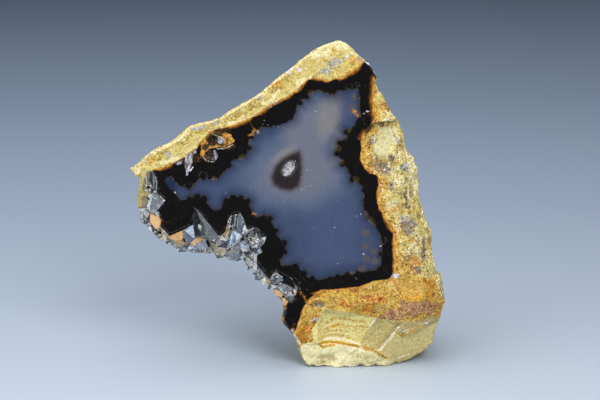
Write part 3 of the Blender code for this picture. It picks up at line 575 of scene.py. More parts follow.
# Patches of the rock by colour: place, half width and height, turn
rockPatches = {
    "grey": [
        (169, 153, 3, 3, 0), (198, 129, 6, 3, -30), (216, 121, 6, 2.5, -20), (333, 62, 7, 4, 0),
        (325, 70, 6, 4, 0), (372, 141, 4, 6, 10),
        (383, 169, 9, 6, 35), (391, 185, 3, 4, 0), (406, 168, 4, 5, 0), (407, 199, 3, 9, -8),
        (409, 226, 8, 8, 20), (425, 250, 2.2, 12, 5), (420, 271, 4, 4, 0), (316, 304, 6, 4, 0),
        (324, 307, 3, 2.5, 10), (363, 63, 3, 2, 0), (339, 61, 3, 3, 0), (201, 127, 6, 2.2, -25),
        (261, 98, 3, 2, -30), (391, 157, 2.4, 3.4, -20), (360, 62, 4, 3, 0),
    ],
    "lilac": [
        (394, 135, 2.4, 8, -20), (405, 167, 3, 4, 0), (291, 71, 5, 3.4, -30), (346, 57, 4, 2.4, -30),
        (402, 219, 3, 3, 0), (404, 199, 1.4, 6, -8), (198, 128, 5, 1.6, -30),
        (424, 244, 1.4, 6, 0), (399, 139, 1.6, 4, 0), (384, 128, 3, 2, 0),
    ],
    "stain": [
        (350, 304, 10, 4, 15), (375, 298, 13, 5, 5), (366, 307, 5, 3, 45), (374, 313, 4, 3, 45),
        (398, 296, 5, 4, 50), (407, 302, 6, 2.5, 15), (303, 335, 8, 14, 20), (314, 326, 4, 9, 20),
        (428, 286, 5, 7, -30), (403, 262, 5, 8, 0), (416, 262, 8, 6, 20), (397, 243, 3, 12, 0),
        (384, 107, 5, 6, 0), (354, 61, 3, 4, -35), (337, 72, 2.4, 3, 0), (150, 158, 3, 5, 0),
        (334, 49, 3, 3, 0), (325, 59, 3, 1.6, 0), (409, 243, 6, 2, 0), (432, 245, 2, 8, 0),
        (367, 150, 4, 9, 20), (329, 347.5, 6, 2.5, -10), (440, 297, 2, 12, -10), (388, 228, 4, 10, 20),
        (376, 84, 2, 8, 0), (382, 196, 4, 14, 0), (392, 209, 4, 3, 0), (326, 293, 16, 2, -5),
        (278, 84, 4, 3, 0), (368, 160, 4, 9, -10), (381, 178, 4, 5, 30), (398, 268, 4, 10, 0),
        (305, 308, 3, 12, 25), (376, 110, 2, 10, 0), (410, 272, 14, 5, 0), (341, 326, 3, 1.5, 0),
    ],
    "deepStain": [
        (350, 304, 3.2, 2, 0), (344, 301, 2.2, 1.4, 0), (369, 296, 2.6, 2, 0), (380, 299, 4, 2, 10),
        (366, 306.5, 2, 2, 0), (373.5, 313, 2.2, 1.6, 0), (398, 295, 1.6, 1.6, 0),
        (305, 343, 2.0, 2.4, 20), (299, 339, 1.6, 2.0, 5), (386, 109, 1.6, 1.4, 0), (371, 148, 2.4, 2.4, 0),
        (425, 282, 2.4, 3, 0), (405, 303, 3, 1.4, 20), (413, 268, 3.4, 2.4, 20), (357, 300, 3, 1.4, 0),
        (373, 300, 4, 1.6, 20), (360, 296, 2, 1.4, 0), (390, 294, 2, 1.4, 0), (374, 152, 1.2, 2, 0),
        (307, 326, 1.8, 3, 20), (385, 104, 1.6, 1.2, 0), (434, 293, 2, 3, 0),
        (364, 298, 3, 1.6, 0), (346, 306, 3, 1.6, 0), (384, 295, 3, 1.4, 0),
    ],
    "rust": [
        (301, 336, 5.5, 9, 18), (305, 328, 3, 5, 20), (312, 331, 2.4, 5, 15), (380, 299, 7, 4, 10),
        (370, 306, 6, 5, 30), (345, 303, 6, 3, 0), (430, 290, 4, 8, 0),
    ],
    # Pale cream rock, with painted light along the lit right-hand rim and on the right flank
    "paleAndRimLight": [
        (391, 115, 5, 3.5, 0), (322, 52, 13, 5, -30), (303, 79, 8, 3, -35), (437, 275, 2.5, 18, -12),
        (270, 98, 12, 2.5, -33), (184, 137, 11, 3, -38), (165, 161, 14, 3, -14), (412, 172, 7, 22, -5),
        (400, 183, 5, 6, 0), (235, 121, 14, 2, -18), (415, 252, 5, 9, 0), (388, 143, 6, 13, 10),
        (391, 206, 5, 7, 20), (341, 46, 9, 3.5, 10), (420, 240, 5, 5, 0), (357, 54, 5, 4, 45),
        (137, 172, 6, 5, 40), (441, 285, 1.6, 14, -14), (396, 172, 5, 4, 0), (399, 154, 5, 4, 0),
        (385, 93, 4, 9, -30), (381, 85, 2, 6, -20), (390, 110, 3, 6, -25),
        (398, 225, 4, 4, 0), (415, 172, 2.6, 15, -8), (421, 201, 2.2, 14, -8), (428, 224, 2.2, 10, -16),
        (407, 150, 2, 7, -30), (398, 131, 1.8, 9, -25),
    ],
    "olive": [
        (255, 106, 10, 3, -30), (284, 86, 8, 3.4, -40), (201, 131, 8, 2.6, -28), (222, 124, 8, 2.6, -20),
        (160, 154, 11, 4.5, -28), (185, 141, 8, 3, -38), (236, 114, 11, 4, -28), (252, 104, 9, 4, -30),
        (277, 87, 10, 5, -35), (316, 303, 9, 5, 0), (388, 124, 10, 2.5, -3), (290, 78, 6, 4, -35),
        (372, 288, 18, 5.5, -6), (350, 292, 14, 4, -3), (305, 318, 3, 7, 20), (213, 126, 8, 3, -15),
        (425, 262, 4, 4, 0), (384, 182, 6, 5, 30), (404, 208, 5, 6, 0), (400, 232, 5, 5, 0),
        (411, 212, 5, 5, 0), (395, 163, 5, 3, 0), (330, 305, 12, 4, 8),
    ],
    "purple": [(396, 314, 14, 5, -12), (413, 309, 15, 7, -5), (430, 307, 10, 6, -10),
               (386, 318, 7, 3.5, 5)],
    "white": [(313.5, 319, 2.2, 1.8, 0), (396, 277, 4, 2.4, 20), (427, 325, 1.4, 1.1, 0),
              (369.5, 285.5, 2.0, 0.9, 30), (366, 61, 2, 1, 30), (293, 70, 2.4, 2, -40),
              (300, 68, 1.6, 1, 0), (346, 56.5, 2, 1.4, -30)],
}


def recess(view):  # how far the front lies back at the right and at the lower right
    return 5.0 * smooth(spots(view, [(428, 344, 34, 34, 0), (420, 210, 14, 100, -10)]))


def ledgeRelief(flat):
    raised = np.zeros(len(flat))
    for line, height, reach in ledges:
        path = onFace(line)
        gap = lineDistance(flat, path)
        side = np.zeros(len(flat))
        for start, end in zip(path, path[1:]):
            along = end - start
            share = np.clip(((flat - start) @ along) / (along @ along), 0, 1)
            away = flat - (start + share[:, None] * along)
            here = np.abs(np.linalg.norm(away, axis=1) - gap) < 1e-6
            side = np.where(here, along[0] * away[:, 1] - along[1] * away[:, 0], side)
        raised += np.where((gap < reach) & (side > 0), height * (1 - smooth(gap / reach)), 0)
    return raised


def layerRelief(flat):
    depth = np.zeros(len(flat))
    for line, width, deep in layers:
        depth += deep * (1 - smooth(lineDistance(flat, onFace(line)) / width))
    return depth


def pitRelief(view):
    depth = np.zeros(len(view))
    for x, y, reach in pitHoles:
        gap = np.hypot(view[:, 0] - x, view[:, 1] - y) / reach
        depth = np.maximum(depth, 1 - smooth(gap))
    return depth


def shapeSkin(stone):
    points = pointsOf(stone)
    normals = normalsOf(stone)
    flat = points[:, [0, 2]]
    view = toView(points)
    ragged = warped(points, warped(points, view, 4.2, 2.6, 5), 1.8, 0.9)
    toAgate = signedDistance(flat, agateOutline)
    flush = isInside(flat, flushOutline) | (toAgate < 0.4)
    polished = flush & (points[:, 1] < skin["flat"]) & (normals[:, 1] < -0.8)
    front = smooth(1.2 - (points[:, 1] - recess(view)) / relief["frontDepth"])
    front *= smooth(-normals[:, 1] * 1.6)
    facet = zones(view, facets.values(), 1.5) * front
    even = np.maximum(facet, 0.75 * zones(view, [evenSlope], 3.0) * front)

    height, size, seed = relief["lumps"]
    push = height * waves(points, size, seed, 4) * (1 - 0.9 * even)
    height, size, seed = relief["backLumps"]
    push += height * waves(points, size, seed, 4) * (1 - front)
    height, size, seed = relief["knobs"]
    gaps, draws = cells(points, size, seed)
    push += height * (0.5 - gaps) * (1 - 0.95 * even) * (0.4 + 0.8 * draws)
    height, size, seed = relief["crumbs"]
    push += height * waves(points, size, seed) * (1 - 0.8 * facet)
    height, size, seed = relief["grains"]
    gaps, draws = cells(points, size, seed)
    push += height * (0.45 - gaps) * (1 - 0.92 * facet) * (0.5 + draws)
    pit = relief["pits"]
    gaps, draws = cells(points, pit["size"], pit["seed"])
    struck = (draws < pit["share"]) * (1 - smooth(gaps / pit["reach"])) * (1 - even)
    push -= pit["depth"] * struck
    pockets = smooth(1.6 * spots(ragged, rockPatches["grey"]) - 0.3) * front
    push -= relief["pocketDepth"] * pockets
    push -= 0.55 * pitRelief(view) * front
    push += (ledgeRelief(flat) - layerRelief(flat)) * front
    push *= smooth((toAgate - 0.3) / 1.2) * 0.85 + 0.15
    push *= 1 - 0.75 * smooth(1.8 - lineDistance(view, bandEdge) / 5) * smooth(1.5 - points[:, 1] / 6)

    openness = spots(ragged, openPatches)
    gaps, draws = cells(points, 0.75, 41)
    bandPits = 0.30 * smooth(2.0 * openness - 0.5) * (draws < 0.55) * (1 - smooth(gaps / 0.5))
    bandPits *= polished & (toAgate > 0.5)
    points[polished, 1] = 0
    moved = points + normals * (push * ~polished)[:, None]
    moved[:, 1] += bandPits
    standing = toModel(moved)
    below = standing[:, 2] < 0
    standing[below, 2] = 0
    moved[below] = toSlab(standing[below] * 1000)
    setPoints(stone, moved)
    setField(stone, "raised", np.where(polished, -bandPits, push))


shapeSkin(stone)
print("stage: skin shaped")

# The agate is cut from the skin, and what is left is the rock

quartzOuter = [
    (146, 171), (141.5, 183), (123, 187), (124, 200), (126, 222), (140, 236), (160, 250),
    (172, 262), (200, 264), (222, 270), (238, 272), (246, 284), (258, 294), (268, 302),
    (270, 309), (276, 312),
]
quartzInner = [
    (160, 174), (168, 192), (172, 202), (170, 216), (176, 226), (188, 216), (194, 200),
    (220, 218), (240, 206), (268, 226), (272, 250), (282, 264), (300, 272), (304, 292),
]
cut = {
    "agateDepth": 9.5,
    "front": -4.0,
    "contactStep": 0.7,     # the contact is drawn in steps of this length
    "contactWaver": 0.13,
    "brokenSide": {"from": 356, "top": 118, "bottom": 275, "waver": 0.42},
    "quartzEdgeDepth": 13.5,
    "quartzInnerDepth": 8.6,
    "quartzGap": 0.3,
}
eye = {"centre": (288.5, 168.5), "size": (2.6, 4.5), "depth": 2.2, "turn": 38.0}
vugs = {
    "upper": {"centre": (212.5, 140.0), "size": (2.3, 2.7), "depth": 1.7, "turn": 12.0},
    "lower": {"centre": (209.0, 156.0), "size": (2.1, 2.2), "depth": 1.7, "turn": -30.0},
}


def prism(name, outline, front, backs):
    count = len(outline)
    backs = np.broadcast_to(backs, count)
    corners = [(x, front, z) for x, z in outline]
    corners += [(x, back, z) for (x, z), back in zip(outline, backs)]
    faces = [(i, (i + 1) % count, (i + 1) % count + count, i + count) for i in range(count)]
    flat = [Vector(place) for place in outline]
    edges = [(i, (i + 1) % count) for i in range(count)]
    caps, source = geometry.delaunay_2d_cdt(flat, edges, [], 1, 1e-6)[2:4]
    for offset in (0, count):
        faces += [tuple(source[corner][0] + offset for corner in cap) for cap in caps]
    return addThing(name, corners, faces)


def wanderingContact():  # the agate's outline in short steps that wander a little
    steps = []
    for start, end in zip(agateOutline, np.roll(agateOutline, -1, axis=0)):
        count = max(1, round(np.linalg.norm(end - start) / cut["contactStep"]))
        steps += [start + (end - start) * i / count for i in range(count)]
    steps = np.array(steps)
    solid = np.insert(steps, 1, 0, axis=1)
    shift = np.column_stack((waves(solid, 1.3, 51), waves(solid, 1.3, 77)))
    places = toView(solid)
    broken = cut["brokenSide"]
    jagged = (places[:, 0] > broken["from"]) & (places[:, 1] > broken["top"])
    jagged &= places[:, 1] < broken["bottom"]
    return steps + np.where(jagged, broken["waver"], cut["contactWaver"])[:, None] * shift


def quartzSpace(gap):
    outline = onFace(quartzOuter + quartzInner[::-1])
    depths = np.array([cut["quartzEdgeDepth"]] * len(quartzOuter)
                      + [cut["quartzInnerDepth"]] * len(quartzInner))
    return prism("quartz_space", outline, cut["front"], depths + gap)


def egg(name, setup, grow=0.0, cuts=4):
    work = bmesh.new()
    bmesh.ops.create_icosphere(work, subdivisions=cuts, radius=1.0)
    x, z = onFace([setup["centre"]])[0]
    matrix = Matrix.Translation((x, 0, z)) @ Matrix.Rotation(math.radians(setup["turn"]), 4, "Y")
    wide, high = setup["size"]
    sizes = (wide / 2 + grow, setup["depth"] + grow, high / 2 + grow, 1.0)
    bmesh.ops.transform(work, matrix=matrix @ Matrix.Diagonal(sizes), verts=work.verts)
    mesh = bpy.data.meshes.new(name)
    work.to_mesh(mesh)
    work.free()
    thing = bpy.data.objects.new(name, mesh)
    bpy.context.scene.collection.objects.link(thing)
    return thing


contact = wanderingContact()
agate = twinOf(stone, "agate_stone")
carve(agate, [prism("agate_space", contact, cut["front"], cut["agateDepth"])], "INTERSECT")
carve(agate, [egg("eye", eye)] + [egg(name, setup) for name, setup in vugs.items()])
rock = stone
rock.name = "yellow_rock"
carve(rock, [prism("agate_space", contact, cut["front"], cut["agateDepth"]),
             quartzSpace(cut["quartzGap"])])
print("stage: agate", len(agate.data.polygons), "faces, rock", len(rock.data.polygons), "faces")

# What the rock's colours follow, patch by patch

orangeLines = [  # the line and half its width, in view units
    ([(319.6, 344.6), (325, 343.4), (331, 342.8), (341, 343.8), (351, 345.5), (359, 347)], 1.6),
    ([(363, 347), (378, 353.2), (387.5, 360)], 1.1),
    ([(395, 331), (402.5, 337.4), (409, 333.8), (423, 326.5)], 0.9),
    ([(393, 282), (397, 291), (403, 297), (411, 299.8), (423, 298.4)], 0.9),
    ([(402, 295.5), (411, 298), (422, 296)], 1.2),
    ([(319.6, 364.8), (323, 363.3), (331, 364)], 0.6),
    ([(308, 344.5), (314, 344.8), (320, 344)], 0.6),
    ([(322.5, 347.6), (327, 346.4), (334, 346)], 1.4), ([(320.5, 345), (322.5, 349)], 0.9),
    ([(333, 327), (339, 325)], 1.4),
    ([(179, 136.5), (184, 129.8)], 0.6), ([(171, 142.5), (178, 137.5)], 0.6),
    ([(191.5, 124.8), (199, 122.5)], 0.6), ([(140, 164.5), (148, 158)], 0.4),
    ([(296, 330), (300.5, 343)], 0.9),
]
rowLines = [  # rows of rusty dots along the layers
    ([(325.7, 325), (331, 320.3), (337, 318.3), (345, 319.3), (353, 321.3), (365, 322.5)], 1.4),
    ([(325, 330), (333, 326.8), (339, 325), (346, 327), (357, 327.4)], 1.5),
    ([(355, 331), (359.4, 327.6), (367.6, 327.6)], 1.3),
    ([(320.6, 340.4), (324.7, 337.2), (331, 335.8), (339, 335.8), (347, 337.7), (354, 341)], 1.2),
    ([(324, 334), (330, 331.5), (338, 330.6), (348, 332.4)], 1.0),
    ([(399, 283), (402, 290), (410, 293.5), (420, 292.5)], 0.9),
    ([(404, 281), (408, 287), (415, 289)], 0.9),
    ([(410, 330), (424, 325), (434, 322)], 1.2), ([(363, 349), (378, 354), (387, 361)], 1.4),
]
# Step edges and ridges painted bright: a painted highlight where they face the light
highlightLines = [
    ([(398.6, 327.6), (391, 337.5), (379.6, 351.2)], 1.6),
    ([(376.6, 318.8), (370, 327)], 1.0),
    ([(324, 339.6), (331, 338.6), (343, 339.8), (353, 342.7), (360, 345.6)], 1.1),
    ([(325, 345.2), (333, 344), (345, 345.2), (357, 348.6)], 0.8), ([(359, 345.5), (362.5, 348)], 1.4),
    ([(346, 360), (352, 353.6), (357, 349)], 0.7),
    ([(398.5, 328.5), (403, 331.5), (411, 329.6), (431, 321.5)], 0.5),
    ([(325, 309.5), (321, 315), (318, 321)], 0.5),
    ([(346, 366.5), (369, 366.6), (392, 362.5), (411, 356.5)], 0.9),
    ([(294, 335), (302, 348.4), (309, 358), (318, 366.5)], 1.2),
    ([(437, 281), (443, 297)], 0.8),
    ([(383, 120.4), (396, 119)], 0.6),
    ([(391, 281), (395, 289), (400, 296)], 0.5),
]
# A painted highlight along the polished band's outer edge, where its bevel faces the light
bevelHighlightLines = [
    ([(141, 158), (152, 153), (165, 147), (178, 138.5), (186, 128), (191, 125)], 2.6),
    ([(190, 125), (200, 123.4), (212, 121)], 1.4), ([(212, 121), (226, 116), (240, 107)], 1.1),
    ([(240, 107), (262, 93), (272, 83), (279, 79)], 1.5), ([(133, 167), (142, 159)], 1.6),
    ([(279, 79), (300, 61), (312, 53)], 1.4), ([(312, 53), (326, 44), (345, 41), (354, 48)], 2.0),
    ([(160, 163), (178, 158), (192, 149), (203, 137.5)], 0.8),
    ([(208, 131), (228, 126), (252, 116), (272, 102)], 0.7), ([(272, 102), (290, 93), (301, 82)], 0.6),
]


def nearLines(view, lines):  # 1 on the line, 0.5 at its side, 0 a little further
    total = np.zeros(len(view))
    for line, half in lines:
        total = np.maximum(total, np.clip(1 - 0.5 * lineDistance(view, line) / half, 0, 1))
    return total


def paintRock(rock):
    points = pointsOf(rock)
    normals = normalsOf(rock)
    view = toView(points)
    flat = points[:, [0, 2]]
    toAgate = lineDistance(flat, contact, closed=True)
    front = smooth(1.3 - (points[:, 1] - recess(view)) / 6.0)
    ragged = warped(points, warped(points, view, 4.2, 2.6, 5), 1.8, 0.9)
    wavered = warped(points, view, 0.6, 1.0, 19)
    broad = waves(points, 9.0, 63)
    medium = waves(points, 6.0, 85)
    behind = {
        "grey": 1.1 * medium - 0.15, "stain": 0.9 * broad - 0.05, "deepStain": 1.1 * broad - 0.5,
        "paleAndRimLight": -1.0 * broad, "olive": 0.8 * medium, "purple": -0.9 * medium - 0.35,
    }
    for name, places in rockPatches.items():
        values = spots(ragged, places) * front
        if name in behind:
            values += (1 - front) * np.clip(behind[name], 0, 1)
        setField(rock, name, values)
    setField(rock, "gold", zones(ragged, [evenSlope], 7.0) * front)
    for name, outline in facets.items():
        setField(rock, "facet_" + name, zones(wavered, [outline], 1.8) * front)
    # The dark line under the upper right ledge is a painted shadow
    lines = {"orangeLine": orangeLines, "rowLine": rowLines, "highlightLine": highlightLines,
             "bevel": bevelHighlightLines, "ledgeShadow": [([(376, 123), (384, 122), (396, 121.2)], 0.9)]}
    for name, drawn in lines.items():
        setField(rock, name, nearLines(wavered, drawn) * front)
    setField(rock, "pitted", spots(ragged, openPatches) * front)
    setField(rock, "holeShade", pitRelief(view) * front)
    flush = isInside(flat, flushOutline) & (points[:, 1] < 0.5) & (normals[:, 1] < -0.6)
    setField(rock, "polish", flush)
    onBand = signedDistance(wavered, bandEdge + [(400, 110), (340, 100), (250, 140), (150, 190)])
    setField(rock, "band", np.clip(0.5 - onBand / 3, 0, 1) * front)
    setField(rock, "contact", toAgate + 4 * (1 - front))
    setField(rock, "warmSide", spots(view, [(378, 170, 20, 130, -12), (350, 300, 70, 20, 0)]) * front)


paintRock(rock)

rockTones = {  # screen colours of dark, middling and light grains
    "sugar": ("A4863C", "D0BC66", "EADEA0"),
    "smooth": ("C0AC5C", "D8C97C", "E8DC9C"),
    "olive": ("846614", "B09038", "D8C66C"),
    "paleAndRimLight": ("CDB976", "E6DA9C", "F8F0CC"),
    "grey": ("545864", "909298", "D0CFCC"),
    "lilac": ("9496A2", "BEBEC6", "E4E4EA"),
    "band": ("A08A38", "C8B464", "E2D492"),
    "gold": ("8E6A0C", "CA9E22", "E6C45E"),
    "rim": ("8A5404", "CC961C", "E4BC48"),
    "purple": ("623A3C", "AE7A56", "DAB47A"),
    "stain": ("8E5A06", "CA941C", "E4C058"),
    "rust": ("B25C06", "DE9210", "EEB03C"),
    "deepStain": ("642404", "A85A0C", "CC8C24"),
    "layered": ("CCB458", "E0D284", "F0E6AC"),
    # the hollow's darker tones: painted shade in the hollow
    "hollow": ("9C8648", "B6A664", "CABC82"),
    "smoothBand": ("A08654", "B6A26A", "CCBC88"),
    "tan": ("C4B06C", "D6C480", "E6D698"),
    "cream": ("E6D280", "F6ECB4", "FDF8D6"),
    "yellow": ("D2C486", "E8DEA4", "F6F0C8"),
    "scar": ("9A721A", "C09638", "DCB860"),
    "pocket": ("A89C6A", "CAC28A", "DED8B0"),
}


def rockMaterial():
    material, tree, shader = newMaterial("yellow_rock")
    place = millimetres(tree)
    wide = noiseAt(tree, place, 4.0, 4, 0.6)
    medium = noiseAt(tree, place, 1.4, 4, 0.62)
    fine = noiseAt(tree, place, 0.4, 3, 0.6)
    grain = useGroup(tree, sugarGrain, Place=place, Size=0.34)
    mixed = sums(tree, "MULTIPLY_ADD", grain["Draw"], 0.4, sums(tree, "MULTIPLY", fine, 0.35))
    mixed = sums(tree, "MULTIPLY_ADD", medium, 0.45, sums(tree, "SUBTRACT", mixed, 0.1))
    soft = sums(tree, "MULTIPLY_ADD", grain["Draw"], 0.22, sums(tree, "MULTIPLY", medium, 0.5))
    soft = sums(tree, "MULTIPLY_ADD", fine, 0.5, sums(tree, "SUBTRACT", soft, 0.1))

    def tones(name, spread=mixed):
        return ramp(tree, spread, list(zip((0.22, 0.5, 0.78), rockTones[name])))

    def patch(name, breakup=0.7, low=0.36, high=0.6):
        return useGroup(tree, brokenEdge, Field=field(tree, name), Wide=medium, Fine=fine,
                        Breakup=breakup, Low=low, High=high)["Mask"]

    def share(mask, amount):
        return sums(tree, "MULTIPLY", mask, amount)

    colour = blend(tree, between(tree, wide, 0.42, 0.6, 0.15, 0.75), tones("sugar"), tones("smooth", soft))
    colour = blend(tree, share(between(tree, field(tree, "band"), 0.3, 0.7), 0.8), colour, tones("band", soft))
    colour = blend(tree, share(patch("gold", 0.5), 0.85), colour, tones("gold"))
    for name, breakup, amount in (("olive", 0.8, 0.65), ("paleAndRimLight", 0.6, 0.85), ("stain", 1.0, 0.8),
                                  ("rust", 0.8, 0.85), ("grey", 1.2, 0.75), ("lilac", 1.0, 0.75),
                                  ("purple", 0.8, 0.9)):
        colour = blend(tree, share(patch(name, breakup), amount), colour, tones(name))
    for name in facets:
        mask = between(tree, field(tree, "facet_" + name), 0.35, 0.65)
        colour = blend(tree, mask, colour, tones(name, mixed if name == "scar" else soft))
    colour = blend(tree, share(patch("deepStain", 1.2, 0.45, 0.75), 0.9), colour, tones("deepStain"))

    nearness = sums(tree, "MULTIPLY_ADD", field(tree, "warmSide"), -0.8, field(tree, "contact"))
    for loose, reach in ((wide, 2.0), (medium, 1.2), (grain["Draw"], 0.5)):
        nearness = sums(tree, "MULTIPLY_ADD", sums(tree, "SUBTRACT", loose, 0.5), reach, nearness)
    golden = sums(tree, "MULTIPLY", between(tree, nearness, 2.2, 0.2, 0, 0.6), field(tree, "warmSide"))
    colour = blend(tree, golden, colour, tones("gold"))
    colour = blend(tree, between(tree, nearness, 0.15, -0.2, 0, 0.9), colour, tones("rim"))
    colour = blend(tree, between(tree, nearness, -0.3, -0.8, 0, 0.8), colour, tones("deepStain"))
    seam = sums(tree, "MULTIPLY_ADD", sums(tree, "SUBTRACT", medium, 0.5), 1.2, field(tree, "contact"))
    colour = blend(tree, between(tree, seam, 0.2, 0.0, 0, 0.6), colour, tint("6E3E12"))

    rough = sums(tree, "MULTIPLY_ADD", sums(tree, "SUBTRACT", fine, 0.5), 1.3,
                 share(sums(tree, "SUBTRACT", grain["Draw"], 0.5), 0.3))
    # Painted along the lines: highlights on the bevel and the lit edges, rusty rows, orange stain lines, and a painted
    # shadow under the upper right ledge
    for name, reach, amount, paint in (
            ("bevel", 0.5, 0.6, tint("E8DCA8")), ("highlightLine", 0.7, 0.85, tint("F8F2D6")),
            ("rowLine", 1.0, 0.85, tint("B8820C")), ("orangeLine", 0.6, 1.0, tint("D29C06")),
            ("ledgeShadow", 0.5, 0.85, tint("54441A"))):
        mask = between(tree, sums(tree, "MULTIPLY_ADD", rough, reach, field(tree, name)), 0.45, 0.75)
        mask = sums(tree, "MULTIPLY", mask, between(tree, field(tree, name), 0.05, 0.4))
        if name == "rowLine":
            mask = sums(tree, "MULTIPLY", mask, between(tree, fine, 0.46, 0.54))
        colour = blend(tree, share(mask, amount), colour, paint)
    colour = blend(tree, patch("white", 0.4), colour, tint("DCE0EC"))
    pits = sums(tree, "MULTIPLY", patch("pitted", 1.0, 0.35, 0.6), between(tree, fine, 0.46, 0.38))
    colour = blend(tree, share(pits, 0.85), colour, tint("523C10"))
    # Painted shade: the rock is darker where its surface lies low, and dark in the holes
    low = between(tree, field(tree, "raised"), -0.05, -0.5)
    colour = blend(tree, share(low, 0.55), colour, blend(tree, 1.0, colour, tint("A08458"), "MULTIPLY"))
    colour = blend(tree, between(tree, field(tree, "holeShade"), 0.25, 0.8, 0, 0.85), colour, tint("4A3018"))

    facetMask = field(tree, "facet_layered")
    for name in facets:
        facetMask = sums(tree, "MAXIMUM", facetMask, field(tree, "facet_" + name))
    calm = between(tree, facetMask, 0.2, 0.8, 1.0, 0.35)
    calm = sums(tree, "MULTIPLY", calm, between(tree, field(tree, "band"), 0.3, 0.7, 1.0, 0.4))
    pore = sums(tree, "MULTIPLY", grain["Pore"], share(calm, 0.7))
    colour = blend(tree, pore, colour, blend(tree, 1.0, colour, tint("84683C"), "MULTIPLY"))
    dots = sums(tree, "MULTIPLY", between(tree, grain["Draw"], 0.18, 0.1),
                between(tree, wide, 0.4, 0.6, 0.2, 0.85))
    colour = blend(tree, sums(tree, "MULTIPLY", dots, calm), colour, tint("B4700C"))
    rusty = sums(tree, "MULTIPLY", field(tree, "gold"), between(tree, fine, 0.42, 0.34))
    colour = blend(tree, sums(tree, "MULTIPLY", rusty, calm), colour, tint("94500A"))
    shine = between(tree, sums(tree, "ADD", field(tree, "gold"), field(tree, "purple")), 0.2, 0.8, 0.6, 0.2)
    glint = sums(tree, "MULTIPLY", grain["Glint"], sums(tree, "MULTIPLY", calm, shine))
    colour = blend(tree, glint, colour, tint("FAF6E6"))
    fleck = between(tree, noiseAt(tree, place, 0.17, 2, 0.5), 0.3, 0.7, 0.80, 1.14)
    colour = node(tree, "VectorMath", {0: colour, "Scale": fleck}, operation="SCALE").outputs[0]

    roughness = between(tree, field(tree, "polish"), 0, 1, 0.62, 0.36)
    height = sums(tree, "MULTIPLY_ADD", fine, 0.5, share(grain["Relief"], 0.8))
    strength = sums(tree, "MULTIPLY", share(calm, 0.9), between(tree, field(tree, "polish"), 0, 1, 1.0, 0.2))
    bump = node(tree, "Bump", {"Height": sums(tree, "MULTIPLY", height, strength),
                               "Strength": 0.8, "Distance": 0.0003})
    wire(tree, shader, Base_Color=colour, Roughness=roughness, Normal=bump.outputs[0])
    return material


# What the agate's colours follow

core = {
    "outline": [
        (176, 183), (180, 185.5), (185, 187), (190, 190), (195, 183), (200, 178), (207, 177),
        (214, 176), (218, 177.5), (222, 174), (226, 170), (232, 166), (230, 163), (234, 160),
        (240, 158), (246, 157), (248, 150), (249, 142), (251, 135), (253, 132), (258, 130),
        (262, 127), (270, 127), (278, 125), (287, 122), (293, 119), (296, 110), (297, 104),
        (300, 101), (305, 98), (308, 95), (312, 92), (318, 90), (326, 92), (330, 95), (334, 92),
        (337, 90.5), (345, 90), (352, 89), (358, 89), (359, 95), (359.5, 105), (360, 112),
        (361, 116), (357, 120), (355, 125), (350, 130), (348, 135), (343, 140), (338, 145),
        (336, 150), (337, 155), (343, 161), (345, 165), (351, 176), (358, 183), (363, 187),
        (364, 195), (363, 203), (364, 210), (367, 215), (372, 222), (377, 228), (380, 235),
        (382, 243), (382, 250), (381, 265), (375, 270), (368, 271), (360, 272), (352, 274),
        (338, 275), (330, 278), (322, 279), (315, 279), (309, 278), (306, 275), (302, 271),
        (298, 268), (297, 264), (293, 264), (288, 266), (282, 265), (277, 262), (282, 258),
        (284, 253), (285, 247), (281, 241), (277, 235), (274, 228), (271, 221), (268, 218),
        (262, 216.5), (256, 217), (253, 213), (250, 207), (249, 202), (245, 199), (240, 197),
        (236, 196.5), (231, 198), (227, 198), (222, 204), (222, 209), (219, 210), (214, 210),
        (210, 207), (206, 202), (203, 198), (199, 195.5), (193, 197), (190, 200), (185, 200),
        (180, 200), (177, 196), (175, 190),
    ],
    # knobs of the black rim that stand into the blue: place and radius
    "knobs": [
        (248, 201.5, 3.0), (226, 201, 3.2), (233, 198, 3.4), (241, 198.5, 3.0), (204, 199, 3.6),
        (197, 197.5, 3.8), (190, 199, 3.2), (217, 176, 3.0), (229, 165, 2.6), (210, 176, 3.4),
        (203, 177, 3.0), (334, 92, 2.8), (326, 90.5, 3.0), (270, 218, 3.0), (276, 231, 2.6),
        (284, 243, 3.4), (284, 252, 3.0), (264, 217, 2.6), (279, 263, 2.4), (296, 267, 3.2),
        (304, 273, 2.8), (312, 279, 3.0), (330, 279, 2.6), (348, 275, 2.8), (338, 276.5, 2.4),
        (358, 273, 2.4), (347, 132, 3.2), (340, 143, 3.2), (337, 153, 3.0), (343, 164, 2.8),
        (352, 179, 3.0), (364, 190, 2.4), (365, 202, 2.2), (369, 217, 2.4), (381, 254, 2.6),
        (300, 103, 2.6), (307, 97, 2.4), (252, 137, 2.2), (249, 148, 2.6), (222, 210, 2.4),
    ],
    "bright": [(300, 172, 50, 32, -10), (306, 132, 26, 36, 10)],
    "warm": [(329, 116, 12, 26, 8), (337, 145, 6, 18, 5), (284, 154, 14, 4.5, -36)],
    "deep": [(190, 190, 18, 8, 0), (368, 240, 14, 36, 5), (320, 272, 60, 10, 0), (350, 95, 14, 10, 0),
             (262, 134, 14, 6, -10), (296, 240, 16, 30, -10), (350, 165, 8, 14, 0)],
}
dimPlaces = [[(164, 180), (169, 176.5), (173, 178), (178, 187), (177, 194), (170, 189)]]
